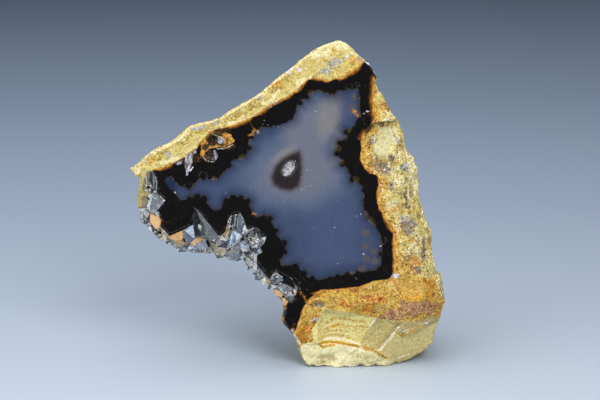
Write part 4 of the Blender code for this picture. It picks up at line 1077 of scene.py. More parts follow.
tanLobes = [
    (371.5, 220.5, 3.0, 5.5, -35), (366, 233.5, 4.0, 4.2, 0), (365, 246, 3.8, 4.0, 0),
    (374, 251, 3.6, 4.0, 0), (366, 259, 3.6, 3.8, 0), (375, 261, 4.0, 4.2, 0),
    (339, 148.5, 2.6, 3.6, 0), (346, 138, 2.2, 2.6, 0), (349, 131, 2.6, 1.8, -30),
    (356, 179, 4.0, 3.0, 30), (342, 162, 2.6, 3.4, 0), (362, 268.5, 5, 2.6, -10),
    (242, 157, 4.6, 2.6, -30), (311, 92.5, 4, 2.4, -25), (354, 97, 2.4, 4, 0),
    (367, 214, 2.0, 4.5, -20), (352, 273, 3, 1.6, 0), (216, 178, 2.0, 1.4, 0), (250, 143, 1.2, 4, 0),
    (352, 107, 3.4, 4, 0),
]
orangePlaces = [
    (253.5, 131, 1.8, 2.6, 30), (251.5, 134.5, 2.6, 1.8, -10), (257, 131, 1.4, 1.2, 0),
    (255, 213.5, 2.0, 1.4, 20), (357, 115, 3.0, 2.0, 35), (353.5, 111.5, 2.6, 2.6, 0),
    (301, 293, 2.4, 1.4, 60), (304, 298, 3.0, 1.6, 55), (298, 288, 2.4, 1.2, 20), (307, 302, 2.0, 1.6, 50),
    (283.5, 306, 2.8, 8, 5), (282, 319, 2.8, 6, 0), (287, 331, 6, 3.0, 45), (276.5, 301, 2, 2, 0),
]
glowPlaces = [  # brown light in the black along the rock
    (373, 98, 5, 26, 0), (371, 74, 5, 9, 20), (280, 99, 15, 4, -28), (320, 78.5, 10, 3, 5),
    (350, 74, 12, 3, -30), (361, 130, 5, 12, 30), (300, 86, 4, 8, 40), (240, 124, 12, 3, -18),
    (160, 168.5, 12, 3, -10), (345, 290, 40, 2, -5), (299, 296, 6, 6, 0), (215, 130, 10, 4, -15),
    (368, 165, 4, 9, -40), (380, 195, 3, 15, 0), (388, 222, 4, 12, -25), (395, 252, 3, 22, 0),
    (290, 325, 4, 10, 10), (262, 111, 8, 4, -30),
]
veinLines = [
    ([(248.5, 117.5), (250.5, 123), (254, 130)], 0.5),
    ([(362, 114), (366, 114.3), (374, 114.6)], 0.45),
    ([(363, 118), (364, 122), (365, 127)], 0.35),
    ([(166, 180), (170, 177), (172.5, 176.5), (174, 181), (178, 185)], 0.4),
    ([(160, 221), (166, 222.5), (170, 221)], 0.25),
    ([(359.5, 96), (360, 108), (359, 114)], 0.3),
    ([(297, 268), (301, 275), (305, 281)], 0.25),
]
ringLines = [
    (189, 186, 5.0, 2.7), (203, 175.5, 4.0, 3.6), (382.5, 240, 3.6, 4.4), (349, 86.5, 3.6, 2.8),
    (357.5, 84, 2.0, 2.6), (191, 194, 4.0, 2.6), (284, 262, 3.0, 2.0),
]
scratches = [
    ([(352, 275), (358, 280)], 0.25), ([(383, 269), (389, 275)], 0.3), ([(396, 271), (404, 277)], 0.3),
    ([(300, 282), (308, 291)], 0.2), ([(262, 124), (290, 129)], 0.2), ([(338, 206), (345, 199)], 0.15),
]
dustSpecks = [  # place and radius
    (175, 192.5, 1.0), (315.5, 111.5, 0.8), (334.5, 227.5, 0.8), (226, 193, 0.6), (213, 179.5, 0.7),
    (357, 216, 0.7), (361, 214, 0.8), (363.5, 254, 1.0), (338, 263.5, 0.7), (337, 255, 0.5),
    (295.5, 161, 0.8), (302, 189.5, 0.8), (305.5, 186.5, 0.6), (310.5, 185.5, 0.6), (301, 177.5, 0.7),
    (367, 111.3, 1.2), (369, 111.5, 0.8), (264.5, 120.5, 0.5), (380.5, 246, 1.0), (187, 174.6, 1.2),
    (337.5, 200, 0.6), (285.5, 202, 0.4), (314, 229, 0.4), (307, 170, 0.7), (364, 113.5, 0.8),
]
eyeHalo = [(272, 177), (276, 167), (283, 159.5), (291, 155), (299, 152), (300.5, 158), (301, 168),
           (300.5, 178), (298, 186), (291, 190), (281, 188.5), (274, 184)]
whiteBits = [
    [(184.8, 155), (190.5, 151.5), (193, 153.5), (192, 163), (189, 172), (187, 175), (185, 168)],
    [(174, 163.6), (179, 160.8), (183.5, 159.5), (182, 163.5), (178, 165)],
    [(193, 150), (197, 150), (196.5, 153), (193.5, 153)],
    [(212.8, 149.5), (216, 151), (217.8, 156), (216.5, 160), (214.5, 161), (215, 157), (214, 153)],
    [(307.5, 78.5), (310, 75), (313, 76), (312.5, 79)], [(273.5, 104.5), (277, 101), (279, 102), (276, 105)],
    [(268, 108), (271, 105.5), (272.5, 107)], [(256, 131), (259.5, 130.5), (260, 133.5), (257, 134)],
    [(389, 279.5), (393, 273), (396, 271), (397, 279.5)], [(291, 329), (295, 328.5), (294, 333), (291.5, 333)],
]
edgeLight = [([(364, 60.5), (370, 64.6), (373.5, 69), (376.5, 75)], 0.6), ([(190, 170.5), (193, 167)], 0.6)]
# The zone around the two small hollows: a tan wall, with what lies on it
vugWalls = [
    [(200, 150), (201, 144), (206, 136), (212, 131.5), (226, 131), (231, 136.5), (235.5, 141.5),
     (231.5, 144.5), (224, 147), (213, 147.5), (208, 152), (206.5, 160), (204, 160), (201, 156)],
]
vugTones = {
    "vugOrange": [(228, 136.5, 3.6, 1.6, 45), (233, 141, 2.0, 2.2, 0), (203.5, 141.5, 3.5, 1.2, -50),
                  (215, 147, 5, 1.2, 5), (202, 152, 1.4, 4, 0)],
    "vugBrown": [(221, 131, 8.5, 2.6, -3), (206, 147, 3.4, 3, 0), (197, 158, 5, 5, 0),
                 (231, 147, 5, 2.4, -20), (213, 140, 6.2, 6.6, 0), (208.8, 156, 5, 5.4, 0),
                 (222, 144, 4, 1.6, 0), (218, 135, 6, 1.6, 20)],
    "vugGrey": [(220.8, 140.6, 3.6, 2.8, 20), (212.8, 156.5, 1.6, 4, 0)],
}
vugLines = [
    ([(212, 134.6), (217, 135.8), (222, 138), (225.5, 141)], 0.55),
    ([(214, 147.2), (219, 149), (226, 148.2), (233, 144.4)], 0.6),
    ([(200.5, 149.5), (206, 149), (210, 150.4)], 0.35), ([(204, 160), (209, 162.4), (214, 161.4)], 0.4),
]


def paintAgate(agate):
    points = pointsOf(agate)
    view = toView(points)
    flat = points[:, [0, 2]]
    wavered = warped(points, view, 0.6, 0.9, 31)
    ragged = warped(points, view, 1.6, 1.1, 61)
    rim = signedDistance(wavered, core["outline"])
    for x, y, radius in core["knobs"]:
        rim = np.maximum(rim, radius - np.hypot(wavered[:, 0] - x, wavered[:, 1] - y))
    setField(agate, "rim", rim)
    besideQuartz = zones(view, [quartzOuter + quartzInner[::-1]], 6.0)
    setField(agate, "contact", lineDistance(flat, contact, closed=True) + 4 * besideQuartz)
    for name in ("bright", "warm", "deep"):
        setField(agate, name, smooth(spots(view, core[name]) / 1.2))
    setField(agate, "lobes", spots(wavered, tanLobes))
    setField(agate, "dim", zones(wavered, dimPlaces, 3.0))
    setField(agate, "orange", spots(ragged, orangePlaces))
    setField(agate, "glow", smooth(spots(ragged, glowPlaces) * 1.3))
    setField(agate, "veins", nearLines(wavered, veinLines))
    setField(agate, "scratches", nearLines(view, scratches))
    setField(agate, "edgeLight", nearLines(wavered, edgeLight))
    rings = np.full(len(view), 9.0)
    for x, y, wide, high in ringLines:
        reach = np.hypot((wavered[:, 0] - x) / wide, (wavered[:, 1] - y) / high)
        rings = np.minimum(rings, np.abs(reach - 1) * min(wide, high))
    setField(agate, "rings", np.clip(1 - rings / 1.2, 0, 1))
    setField(agate, "halo", zones(view, [eyeHalo], 11.0))
    specks = np.zeros(len(view))
    for x, y, radius in dustSpecks:
        specks = np.maximum(specks, np.clip(1.5 - np.hypot(view[:, 0] - x, view[:, 1] - y) / radius, 0, 1))
    setField(agate, "specks", specks)
    setField(agate, "whiteBits", zones(wavered, whiteBits, 2.4))
    setField(agate, "vugWall", zones(ragged, vugWalls, 2.6))
    for name, places in vugTones.items():
        setField(agate, name, spots(ragged, places))
    setField(agate, "vugLines", nearLines(wavered, vugLines))
    inEye = np.hypot(*((view - np.array(eye["centre"])) / (6.3, 9.0)).T)
    setField(agate, "eyeWall", (inEye < 1.25) & (points[:, 1] > 0.12))
    setField(agate, "inside", smooth((points[:, 1] - 0.1) / 0.5))


paintAgate(agate)


def agateMaterial():
    material, tree, shader = newMaterial("agate")
    place = millimetres(tree)
    broad = noiseAt(tree, place, 6.0, 3, 0.5)
    medium = noiseAt(tree, place, 1.5, 4, 0.6)
    fine = noiseAt(tree, place, 0.45, 3, 0.6)
    fibres = noiseAt(tree, node(tree, "VectorMath", {0: place, 1: (1.0, 1.0, 0.35)},
                                operation="MULTIPLY").outputs[0], 0.5, 4, 0.6, 0.4)

    def mask(name, low=0.4, high=0.6):
        return between(tree, field(tree, name), low, high)

    def share(value, amount):
        return sums(tree, "MULTIPLY", value, amount)

    def offset(noise, reach):
        return sums(tree, "MULTIPLY", sums(tree, "SUBTRACT", noise, 0.5), reach)

    def roughened(name, reach):
        return sums(tree, "ADD", field(tree, name), offset(fine, reach))

    rim = sums(tree, "ADD", field(tree, "rim"), offset(fine, 1.6))
    milk = sums(tree, "ADD", field(tree, "bright"), offset(broad, 0.3))
    colour = ramp(tree, milk, [(0.0, "434F6C"), (0.35, "536076"), (0.75, "64697C"), (1.0, "6A6C79")])
    for name, amount, code in (("deep", 0.72, "3C4762"), ("warm", 0.72, "827D79")):
        colour = blend(tree, share(field(tree, name), amount), colour, tint(code))
    colour = blend(tree, share(between(tree, rim, -13.0, -0.5), 0.62), colour, tint("2A344C"))
    colour = blend(tree, share(between(tree, rim, -4.0, 0.0), 0.55), colour, tint("262A34"))
    colour = blend(tree, share(mask("lobes", 0.2, 0.85), 0.6), colour, tint("5C5244"))
    halo = sums(tree, "ADD", field(tree, "halo"), offset(medium, 0.12))
    haloTone = ramp(tree, halo, [(0.3, "4C4240"), (0.55, "332B2A"), (0.8, "231D1D")])
    colour = blend(tree, between(tree, halo, 0.04, 0.64, 0, 0.97), colour, haloTone)
    streaks = between(tree, fibres, 0.3, 0.7, 0.94, 1.06)
    colour = node(tree, "VectorMath", {0: colour, "Scale": streaks}, operation="SCALE").outputs[0]

    black = ramp(tree, sums(tree, "MULTIPLY_ADD", fibres, 0.5, share(medium, 0.5)), [
        (0.35, "0A0A0B"), (0.55, "110F0E"), (0.68, "1C1712"), (0.8, "2C2219")])
    # Painted light: the black turns brown and orange near the rock, widest at the glow places, as light through the
    # thin agate
    reach = sums(tree, "MULTIPLY_ADD", field(tree, "glow"), 1.4, 0.16)
    warmth = sums(tree, "SUBTRACT", 1.0, sums(tree, "DIVIDE", field(tree, "contact"), reach))
    warmth = sums(tree, "ADD", warmth, sums(tree, "ADD", offset(fibres, 0.7), offset(medium, 0.5)))
    black = blend(tree, between(tree, warmth, 0.05, 0.35), black, ramp(tree, warmth, [
        (0.1, "22180F"), (0.4, "452A12"), (0.65, "7A4A16"), (0.85, "B07A2A"), (1.0, "D2A050")]))
    black = blend(tree, share(mask("lobes", 0.3, 0.8), 0.45), black, tint("463A22"))
    black = blend(tree, share(mask("dim", 0.2, 0.8), 0.7), black, tint("26324E"))
    colour = blend(tree, between(tree, rim, -0.6, 0.4), colour, black)

    line = between(tree, sums(tree, "ABSOLUTE", sums(tree, "SUBTRACT", rim, 0.1)), 0.9, 0.2)
    line = sums(tree, "MULTIPLY", line, between(tree, medium, 0.45, 0.66, 0.05, 0.9))
    colour = blend(tree, share(line, 0.6), colour, tint("5E4A26"))
    rings = sums(tree, "MULTIPLY", mask("rings", 0.3, 0.8), between(tree, medium, 0.4, 0.6, 0.1, 0.8))
    colour = blend(tree, share(rings, 0.45), colour, tint("544A34"))
    colour = blend(tree, share(between(tree, roughened("veins", 0.4), 0.55, 0.9), 0.75), colour, tint("A87830"))
    orangeTone = ramp(tree, fine, [(0.35, "5E3A14"), (0.5, "A46C22"), (0.7, "DC9C40")])
    present = between(tree, field(tree, "orange"), 0.02, 0.25)
    orange = sums(tree, "MULTIPLY", between(tree, roughened("orange", 1.6), 0.2, 1.3, 0, 0.9), present)

    wallTone = ramp(tree, sums(tree, "MULTIPLY_ADD", fibres, 0.6, share(fine, 0.4)), [
        (0.35, "3A2812"), (0.46, "7A5424"), (0.56, "B48644"), (0.7, "DCC082")])
    colour = blend(tree, between(tree, roughened("vugWall", 0.7), 0.25, 0.75, 0, 0.95), colour, wallTone)
    for name, codes in (("vugOrange", ("A8640C", "D08A1E", "E4B050")), ("vugBrown", ("160F0A", "2E1E12", "5A4226")),
                        ("vugGrey", ("50505A", "8C8E98", "C8CCD6"))):
        tone = ramp(tree, fine, list(zip((0.35, 0.5, 0.65), codes)))
        colour = blend(tree, between(tree, roughened(name, 0.9), 0.3, 0.8, 0, 0.92), colour, tone)
    colour = blend(tree, between(tree, roughened("vugLines", 0.9), 0.45, 0.85, 0, 0.8), colour, tint("E4D8BC"))
    whiteTone = ramp(tree, fibres, [(0.36, "4A454A"), (0.46, "7E777C"), (0.58, "ACA6AC"), (0.7, "E0E2EA")])
    colour = blend(tree, mask("whiteBits", 0.25, 0.8), colour, whiteTone)
    # Surfaces lying back from the polished plane are painted dark: partly painted shade in the hollows, partly their
    # own dark walls
    deepTone = ramp(tree, fine, [(0.35, "17120F"), (0.6, "3A2C20"), (0.8, "786A5C")])
    colour = blend(tree, share(field(tree, "inside"), 0.8), colour, deepTone)
    colour = blend(tree, orange, colour, orangeTone)
    colour = blend(tree, mask("eyeWall"), colour, ramp(tree, fine, [(0.35, "1E1817"), (0.7, "544640")]))
    scratch = sums(tree, "MULTIPLY", mask("scratches", 0.3, 0.9), between(tree, fine, 0.4, 0.6, 0.2, 0.8))
    dust = node(tree, "TexVoronoi", {"Vector": place, "Scale": 1.3})
    draw = node(tree, "SeparateColor", {0: dust.outputs["Color"]}).outputs[1]
    faint = sums(tree, "MULTIPLY", between(tree, dust.outputs["Distance"], 0.12, 0.05), between(tree, draw, 0.86, 0.9))
    # White marks: dust specks, faint dust and scratches, and a painted highlight along the lit edge of the agate
    white = share(mask("specks", 0.45, 0.9), 0.85)
    for other in (share(faint, 0.22), share(scratch, 0.4), between(tree, roughened("edgeLight", 0.8), 0.4, 0.8)):
        white = sums(tree, "MAXIMUM", white, other)
    colour = blend(tree, white, colour, tint("D8DCE6"))
    roughness = sums(tree, "MULTIPLY_ADD", field(tree, "inside"), 0.3, between(tree, white, 0, 1, 0.07, 0.5))
    wire(tree, shader, Base_Color=colour, Roughness=roughness, IOR=1.54)
    return material


# Quartz: clear and frosted crystals with flat faces along the broken edge

quartz = {
    "bevel": 0.26,        # width of the slanting faces around a flat front, in millimetres
    "drop": 0.5,          # how far behind a crystal's front its shoulders lie
    "root": 2.6,          # how deep its sides go
    "narrowing": 0.08,    # how much slimmer it is there
    "grown": 0.14,        # how far each one reaches over its neighbours
    "ridge": (0.095, 0.2, 0.7),    # half width, height and root of an edge painted bright as a highlight
    "bits": {"spacing": 1.9, "wander": 1.3, "size": (1.1, 2.3), "depth": (0.15, 1.3)},
    "toneSpread": 0.3,
    "bodyTone": (0.3, 0.85),
    "sparkSize": 0.24,
    "reach": 20.0,        # further back than the deepest crystal
    "seed": 12,
}
# Each crystal: its front outline, the places where its faces meet (none for a flat front), how far
# its front lies behind the polished plane, how bright its faces are painted left and right (painted light and shade),
# and its look
crystals = [
    ([(149.8, 170), (153, 170), (156.8, 179), (155.8, 188), (152.5, 193), (149.5, 190), (149, 180)],
     [(152.5, 174), (153, 188)], 0.1, 0.28, 0.5, "frosted"),
    ([(138.4, 184), (139.6, 176.5), (141.5, 170.5), (147, 169), (147.4, 177), (144, 186), (140, 189)],
     None, 0.5, 0.8, 0.8, "yellow"),
    ([(138.5, 188), (144, 187), (149, 191), (148.5, 197), (138, 198)], None, 0.4, 0.6, 0.6, "yellow"),
    ([(141.5, 185), (144.5, 176), (147, 169), (150.5, 170.5), (150, 181), (149.8, 191),
      (144, 195.5), (140, 190)], [(147, 173), (146.5, 181), (144.5, 190)], 0.2, 0.66, 0.56, "tan"),
    ([(149, 191.5), (153.5, 191), (152.5, 195), (148, 196.5)], [(151, 193.5)], 0.1, 0.7, 0.4, "frosted"),
    ([(153.5, 191.5), (164.8, 200.8), (156.5, 209.5), (149.5, 211), (146.5, 205), (148, 195.5)],
     [(150.5, 203.5), (163, 200.7)], 0.0, 0.86, 0.74, "frosted"),
    ([(141, 196.5), (146, 195.5), (149.5, 200), (147, 206), (141.5, 207)], None, 0.3, 0.54, 0.54, "tan"),
    ([(137.4, 196), (142.4, 196), (143, 207), (138, 208)], None, 0.36, 0.6, 0.6, "yellow"),
    ([(138, 208.5), (145, 208), (149.5, 214), (149.5, 221.5), (146, 224), (141.5, 221.5)],
     [(143, 212), (146, 218)], 0.3, 0.5, 0.4, "frosted"),
    ([(150, 212.5), (154.5, 209.5), (158.5, 212), (158.6, 217), (152, 215.5)], [(154.5, 212.5)],
     0.1, 0.8, 0.7, "frosted"),
    ([(150, 214), (154, 215), (158.4, 217), (161, 220.5), (159, 228.5), (155.5, 229), (150, 222)],
     None, 0.0, 0.95, 0.95, "peach"),
    ([(147, 223.5), (151, 222), (155, 228), (152, 232), (148, 228)], [(150.5, 226)], 0.4, 0.8, 0.5,
     "frosted"),
    ([(153, 227), (158, 229), (162, 234), (158, 238), (153, 233)], [(157, 232)], 0.4, 0.5, 0.2, "clear"),
    ([(157, 227.5), (160, 227), (168, 235), (166, 239), (161, 240.5), (158, 237)], [(163.5, 233.5)],
     0.25, 0.4, 0.8, "tan"),
    ([(167, 237.5), (176, 233.5), (183, 230.5), (183.5, 238), (181, 241), (174, 240.5)], None,
     0.05, 0.6, 0.6, "peach"),
    ([(174, 240), (182, 239.5), (186, 243.5), (180, 247.5), (175, 246.5)], None, 0.2, 0.6, 0.5, "tan"),
    ([(183.5, 231), (188.5, 227.5), (194, 224.5), (195.2, 233), (194.5, 239.5), (190, 244),
      (186, 243.5), (183, 238)], None, 0.05, 0.4, 0.4, "lavender"),
    ([(184.4, 230.6), (188.5, 227.6), (194, 224.4), (195.2, 232), (194.6, 239), (192.6, 238),
      (192.4, 229.6), (186, 231.4)], None, -0.04, 0.7, 0.7, "blue"),
    ([(194.6, 207.5), (197.8, 211.6), (200.8, 222), (201.5, 236.5), (195, 236), (193.3, 226),
      (193.3, 214)], None, -0.36, 0.1, 0.1, "frosted"),
    ([(194.8, 208), (201, 214.6), (208, 223.8), (214.5, 232), (220, 238), (213, 240.5), (204, 238),
      (200.5, 236.5), (198.5, 220)], None, -0.3, 0.52, 0.52, "frosted"),
    ([(199, 217), (203.4, 222), (206, 230), (204.6, 236), (200.6, 236.5)], None, -0.33, 0.3, 0.3,
     "frosted"),
    ([(189.5, 243.5), (196, 238), (204.5, 235.4), (205, 238.6), (197, 241.5), (193, 246)],
     [(195, 240.5)], -0.1, 0.9, 0.6, "peach"),
    ([(195.5, 241.5), (204, 239.5), (208.5, 246), (206.5, 251), (199.5, 250.5), (194, 247.5)],
     None, 0.45, 0.66, 0.66, "lavender"),
    ([(205.5, 238.5), (215, 240), (217, 246), (214, 252), (210.5, 246)], [(213, 243)],
     0.15, 0.5, 0.42, "tan"),
    ([(214.5, 239), (222, 236), (227, 241), (225, 247.5), (217, 246.5)], [(220, 240), (221.5, 244)],
     0.05, 0.55, 0.4, "frosted"),
    ([(215, 246), (225, 247), (227, 252), (222, 256.5), (213.5, 252.5)], [(220, 250)],
     0.25, 0.5, 0.62, "tan"),
    ([(176, 247.5), (184, 247.5), (187, 251.5), (179, 252)], [(181, 249.5)], 0.6, 0.6, 0.4, "clear"),
    ([(189, 245.5), (196, 246), (199, 251), (192, 252.5), (188, 250)], [(193, 248.5)],
     0.5, 0.6, 0.7, "clear"),
    ([(226.5, 227), (228.5, 219.5), (232, 215.5), (233.6, 220), (232.5, 227), (228, 231)],
     [(231.5, 218.5), (229.8, 225)], -0.1, 0.95, 0.1, "frosted"),
    ([(224.5, 235), (227, 228), (233, 226.5), (233.5, 233), (229, 239), (225, 240)],
     [(229.5, 229), (228, 235)], 0.1, 0.5, 0.3, "tan"),
    ([(233.5, 231), (234.6, 218), (236.5, 214), (238, 219), (237.4, 232)], [(235.8, 219), (235.2, 229)],
     -0.15, 0.85, 0.5, "frosted"),
    ([(236.8, 232.5), (237.6, 218), (239.6, 212.8), (242, 219.5), (241.5, 232.5)], None,
     -0.1, 0.42, 0.42, "lavender"),
    ([(240.8, 232.5), (241.2, 218), (243.2, 219), (245.2, 225), (244, 232)], [(242.4, 222), (242.6, 230)],
     -0.12, 0.3, 0.8, "frosted"),
    ([(241.5, 226), (244.5, 223.5), (246, 229), (248.5, 233), (243.5, 234.5), (241, 231)],
     [(244.5, 229)], -0.15, 1.0, 0.85, "frosted"),
    ([(230, 239), (232, 233), (235, 235), (234, 241.5), (227, 248)], [(232.5, 237.5), (230.5, 243)],
     -0.15, 0.85, 0.55, "blue"),
    ([(232.5, 232), (238, 231.5), (240.3, 237), (237, 242), (232.5, 245.5), (234, 238)],
     [(236, 236), (236, 240)], -0.18, 0.6, 0.75, "blue"),
    ([(226, 249), (233, 244.8), (240.5, 242.6), (241, 250), (233, 252), (227, 252)],
     [(234, 247), (238, 246)], -0.05, 0.45, 0.6, "lavender"),
    ([(225, 252), (233, 250.5), (240, 251.5), (240.5, 258.5), (233, 258.4), (227, 257)], [(233, 254)],
     0.05, 0.4, 0.52, "lavender"),
    ([(228.5, 251.6), (232, 250), (235, 251.6), (233, 254), (229.5, 254)], [(231.5, 252)],
     -0.12, 0.5, 0.5, "peach"),
    ([(239.5, 242.8), (244, 242), (248, 244.5), (247, 248.5), (240.5, 248.5)], [(243.5, 245)],
     -0.12, 0.75, 0.5, "blue"),
    ([(239.8, 248), (247.5, 247.8), (249.8, 251), (246, 256.5), (240, 258.6)], [(243.5, 252)],
     0.0, 0.5, 0.35, "frosted"),
    ([(244, 236), (248.5, 231), (254, 228), (254.5, 236), (250, 239.5)], [(250.5, 233.5)],
     0.0, 0.25, 0.4, "frosted"),
    ([(253.5, 228), (258.5, 229.5), (260.3, 235), (258.5, 240), (252.5, 241), (253.5, 235)],
     [(256.5, 233)], 0.0, 0.42, 0.3, "frosted"),
    ([(248, 240.5), (253, 240), (256, 244), (252.5, 248), (248, 246)], [(251.5, 243.5)],
     0.0, 0.55, 0.8, "frosted"),
    ([(254, 240.5), (259, 239), (261, 244), (257, 249), (254, 247)], [(257, 243)], -0.1, 0.95, 0.7,
     "frosted"),
    ([(259.5, 243.5), (262, 238.8), (266, 236.8), (265, 242), (261, 247)], [(263.5, 239.5), (261.5, 243.5)],
     -0.1, 0.5, 0.9, "frosted"),
    ([(256.5, 249.5), (260.5, 249), (262.3, 251.5), (258.5, 254), (256, 252.5)], [(259, 251)],
     0.05, 0.7, 0.8, "frosted"),
    ([(254.8, 247.6), (258.3, 249), (256.8, 252), (254.4, 250.5)], None, -0.05, 0.1, 0.1, "blue"),
    ([(250.5, 250), (255, 249.5), (257.4, 257), (256.6, 262.5), (251, 262), (249, 256)],
     [(253.5, 252), (253.7, 259.5)], 0.1, 0.4, 0.65, "frosted"),
    ([(245.5, 257.5), (251, 259), (256.5, 264), (257, 270), (252, 269.5), (248, 266)],
     [(250, 262), (253.5, 266)], 0.2, 0.7, 0.9, "frosted"),
    ([(253.6, 266), (256.8, 264.6), (259.8, 270), (258, 274.4), (254.4, 272.6)], [(256.8, 269)],
     0.15, 0.8, 0.6, "frosted"),
    ([(257, 272.6), (260.4, 270.6), (264.6, 276.6), (262.6, 280.4), (258.6, 278.4)], [(261, 275.4)],
     0.2, 0.6, 0.85, "frosted"),
    ([(261.6, 279.6), (265, 277.6), (270.4, 282.4), (268.4, 285), (263.6, 284)], [(265.8, 281.4)],
     0.15, 0.8, 0.6, "tan"),
    ([(271.5, 280), (272.3, 275.8), (275.8, 273.4), (276.5, 279), (273.5, 284)], [(274, 278.5)],
     0.0, 0.6, 0.4, "frosted"),
    ([(275.5, 273.4), (279.5, 275.6), (280.8, 280), (278, 284), (273, 284), (276, 279)],
     [(278, 278)], 0.0, 0.2, 0.6, "frosted"),
    ([(280.2, 276.6), (282.4, 276.6), (283.4, 280.6), (281, 281.4)], None, 0.0, 0.4, 0.4, "blue"),
    ([(283, 278.5), (290, 276.6), (296.6, 283.6), (293.6, 287.6), (288.6, 285), (282, 283.6)], None,
     -0.06, -0.2, -0.2, "frosted"),
    ([(272, 285), (280.5, 283.5), (286.5, 290), (284.5, 296), (277.5, 293.5), (272, 290)],
     [(278, 286.5), (281, 291)], 0.1, 0.6, 0.5, "frosted"),
    ([(279.6, 283.6), (285.6, 283), (290, 287.4), (286.4, 291), (281.6, 289)], None, -0.05, 0.6, 0.6,
     "frosted"),
    ([(286.4, 284.2), (291.6, 286.4), (293.4, 290.4), (288, 291.6), (285, 289)], None, -0.1, 0.48, 0.48,
     "frosted"),
    ([(285.5, 292), (291, 289), (293.6, 291), (293, 296.4), (289, 299.4), (285.5, 297.6)],
     [(288.5, 293), (290.5, 295)], 0.0, 0.42, 0.6, "frosted"),
    ([(290.4, 291.6), (293.6, 289.8), (296.4, 291.2), (295.4, 295), (291.8, 296)], [(293.6, 292.6)],
     -0.1, 0.5, 0.85, "tan"),
    ([(274.4, 289), (277, 291.5), (281.6, 292.4), (283, 295.4), (281.4, 297.8), (277, 295.8),
      (274.5, 293)], None, 0.2, 0.62, 0.62, "peach"),
    ([(281.6, 297.6), (284.6, 298), (287.8, 302.6), (287, 306.4), (284, 306), (283.6, 301)], None,
     0.3, 0.62, 0.62, "peach"),
]
# The ground beside the broken edge, which the body keeps clear of
clearOf = [(128, 216), (138, 217), (143, 223.5), (150, 229.5), (160, 238), (171, 246), (180, 250.5),
           (192, 252.5), (212, 254), (212, 280), (128, 280)]
quartzHoles = [  # gaps between the crystals, their walls painted dark as painted shade: place, half width and height, turn
    (148, 187.5, 1.5, 1.5, 0), (208.3, 244, 1.7, 4.8, -25), (242.8, 239.4, 2.8, 2.4, 0),
    (187.8, 246.5, 2.2, 1.3, 0), (283.3, 297, 1.5, 1.2, 30), (231, 228.5, 1.3, 1.8, 0),
    (293, 292.8, 1.0, 0.9, 0), (151.5, 226, 1.2, 1.0, 0), (159.5, 232.5, 2.4, 1.6, 40),
    (148.5, 198.5, 0.8, 2.6, -35), (184.5, 240, 0.8, 2.6, -20), (247, 236.5, 1.0, 1.6, 20),
    (234, 228, 0.6, 3.0, 5), (250, 248, 1.2, 0.9, 0), (277, 284.6, 2.4, 0.7, -10),
]
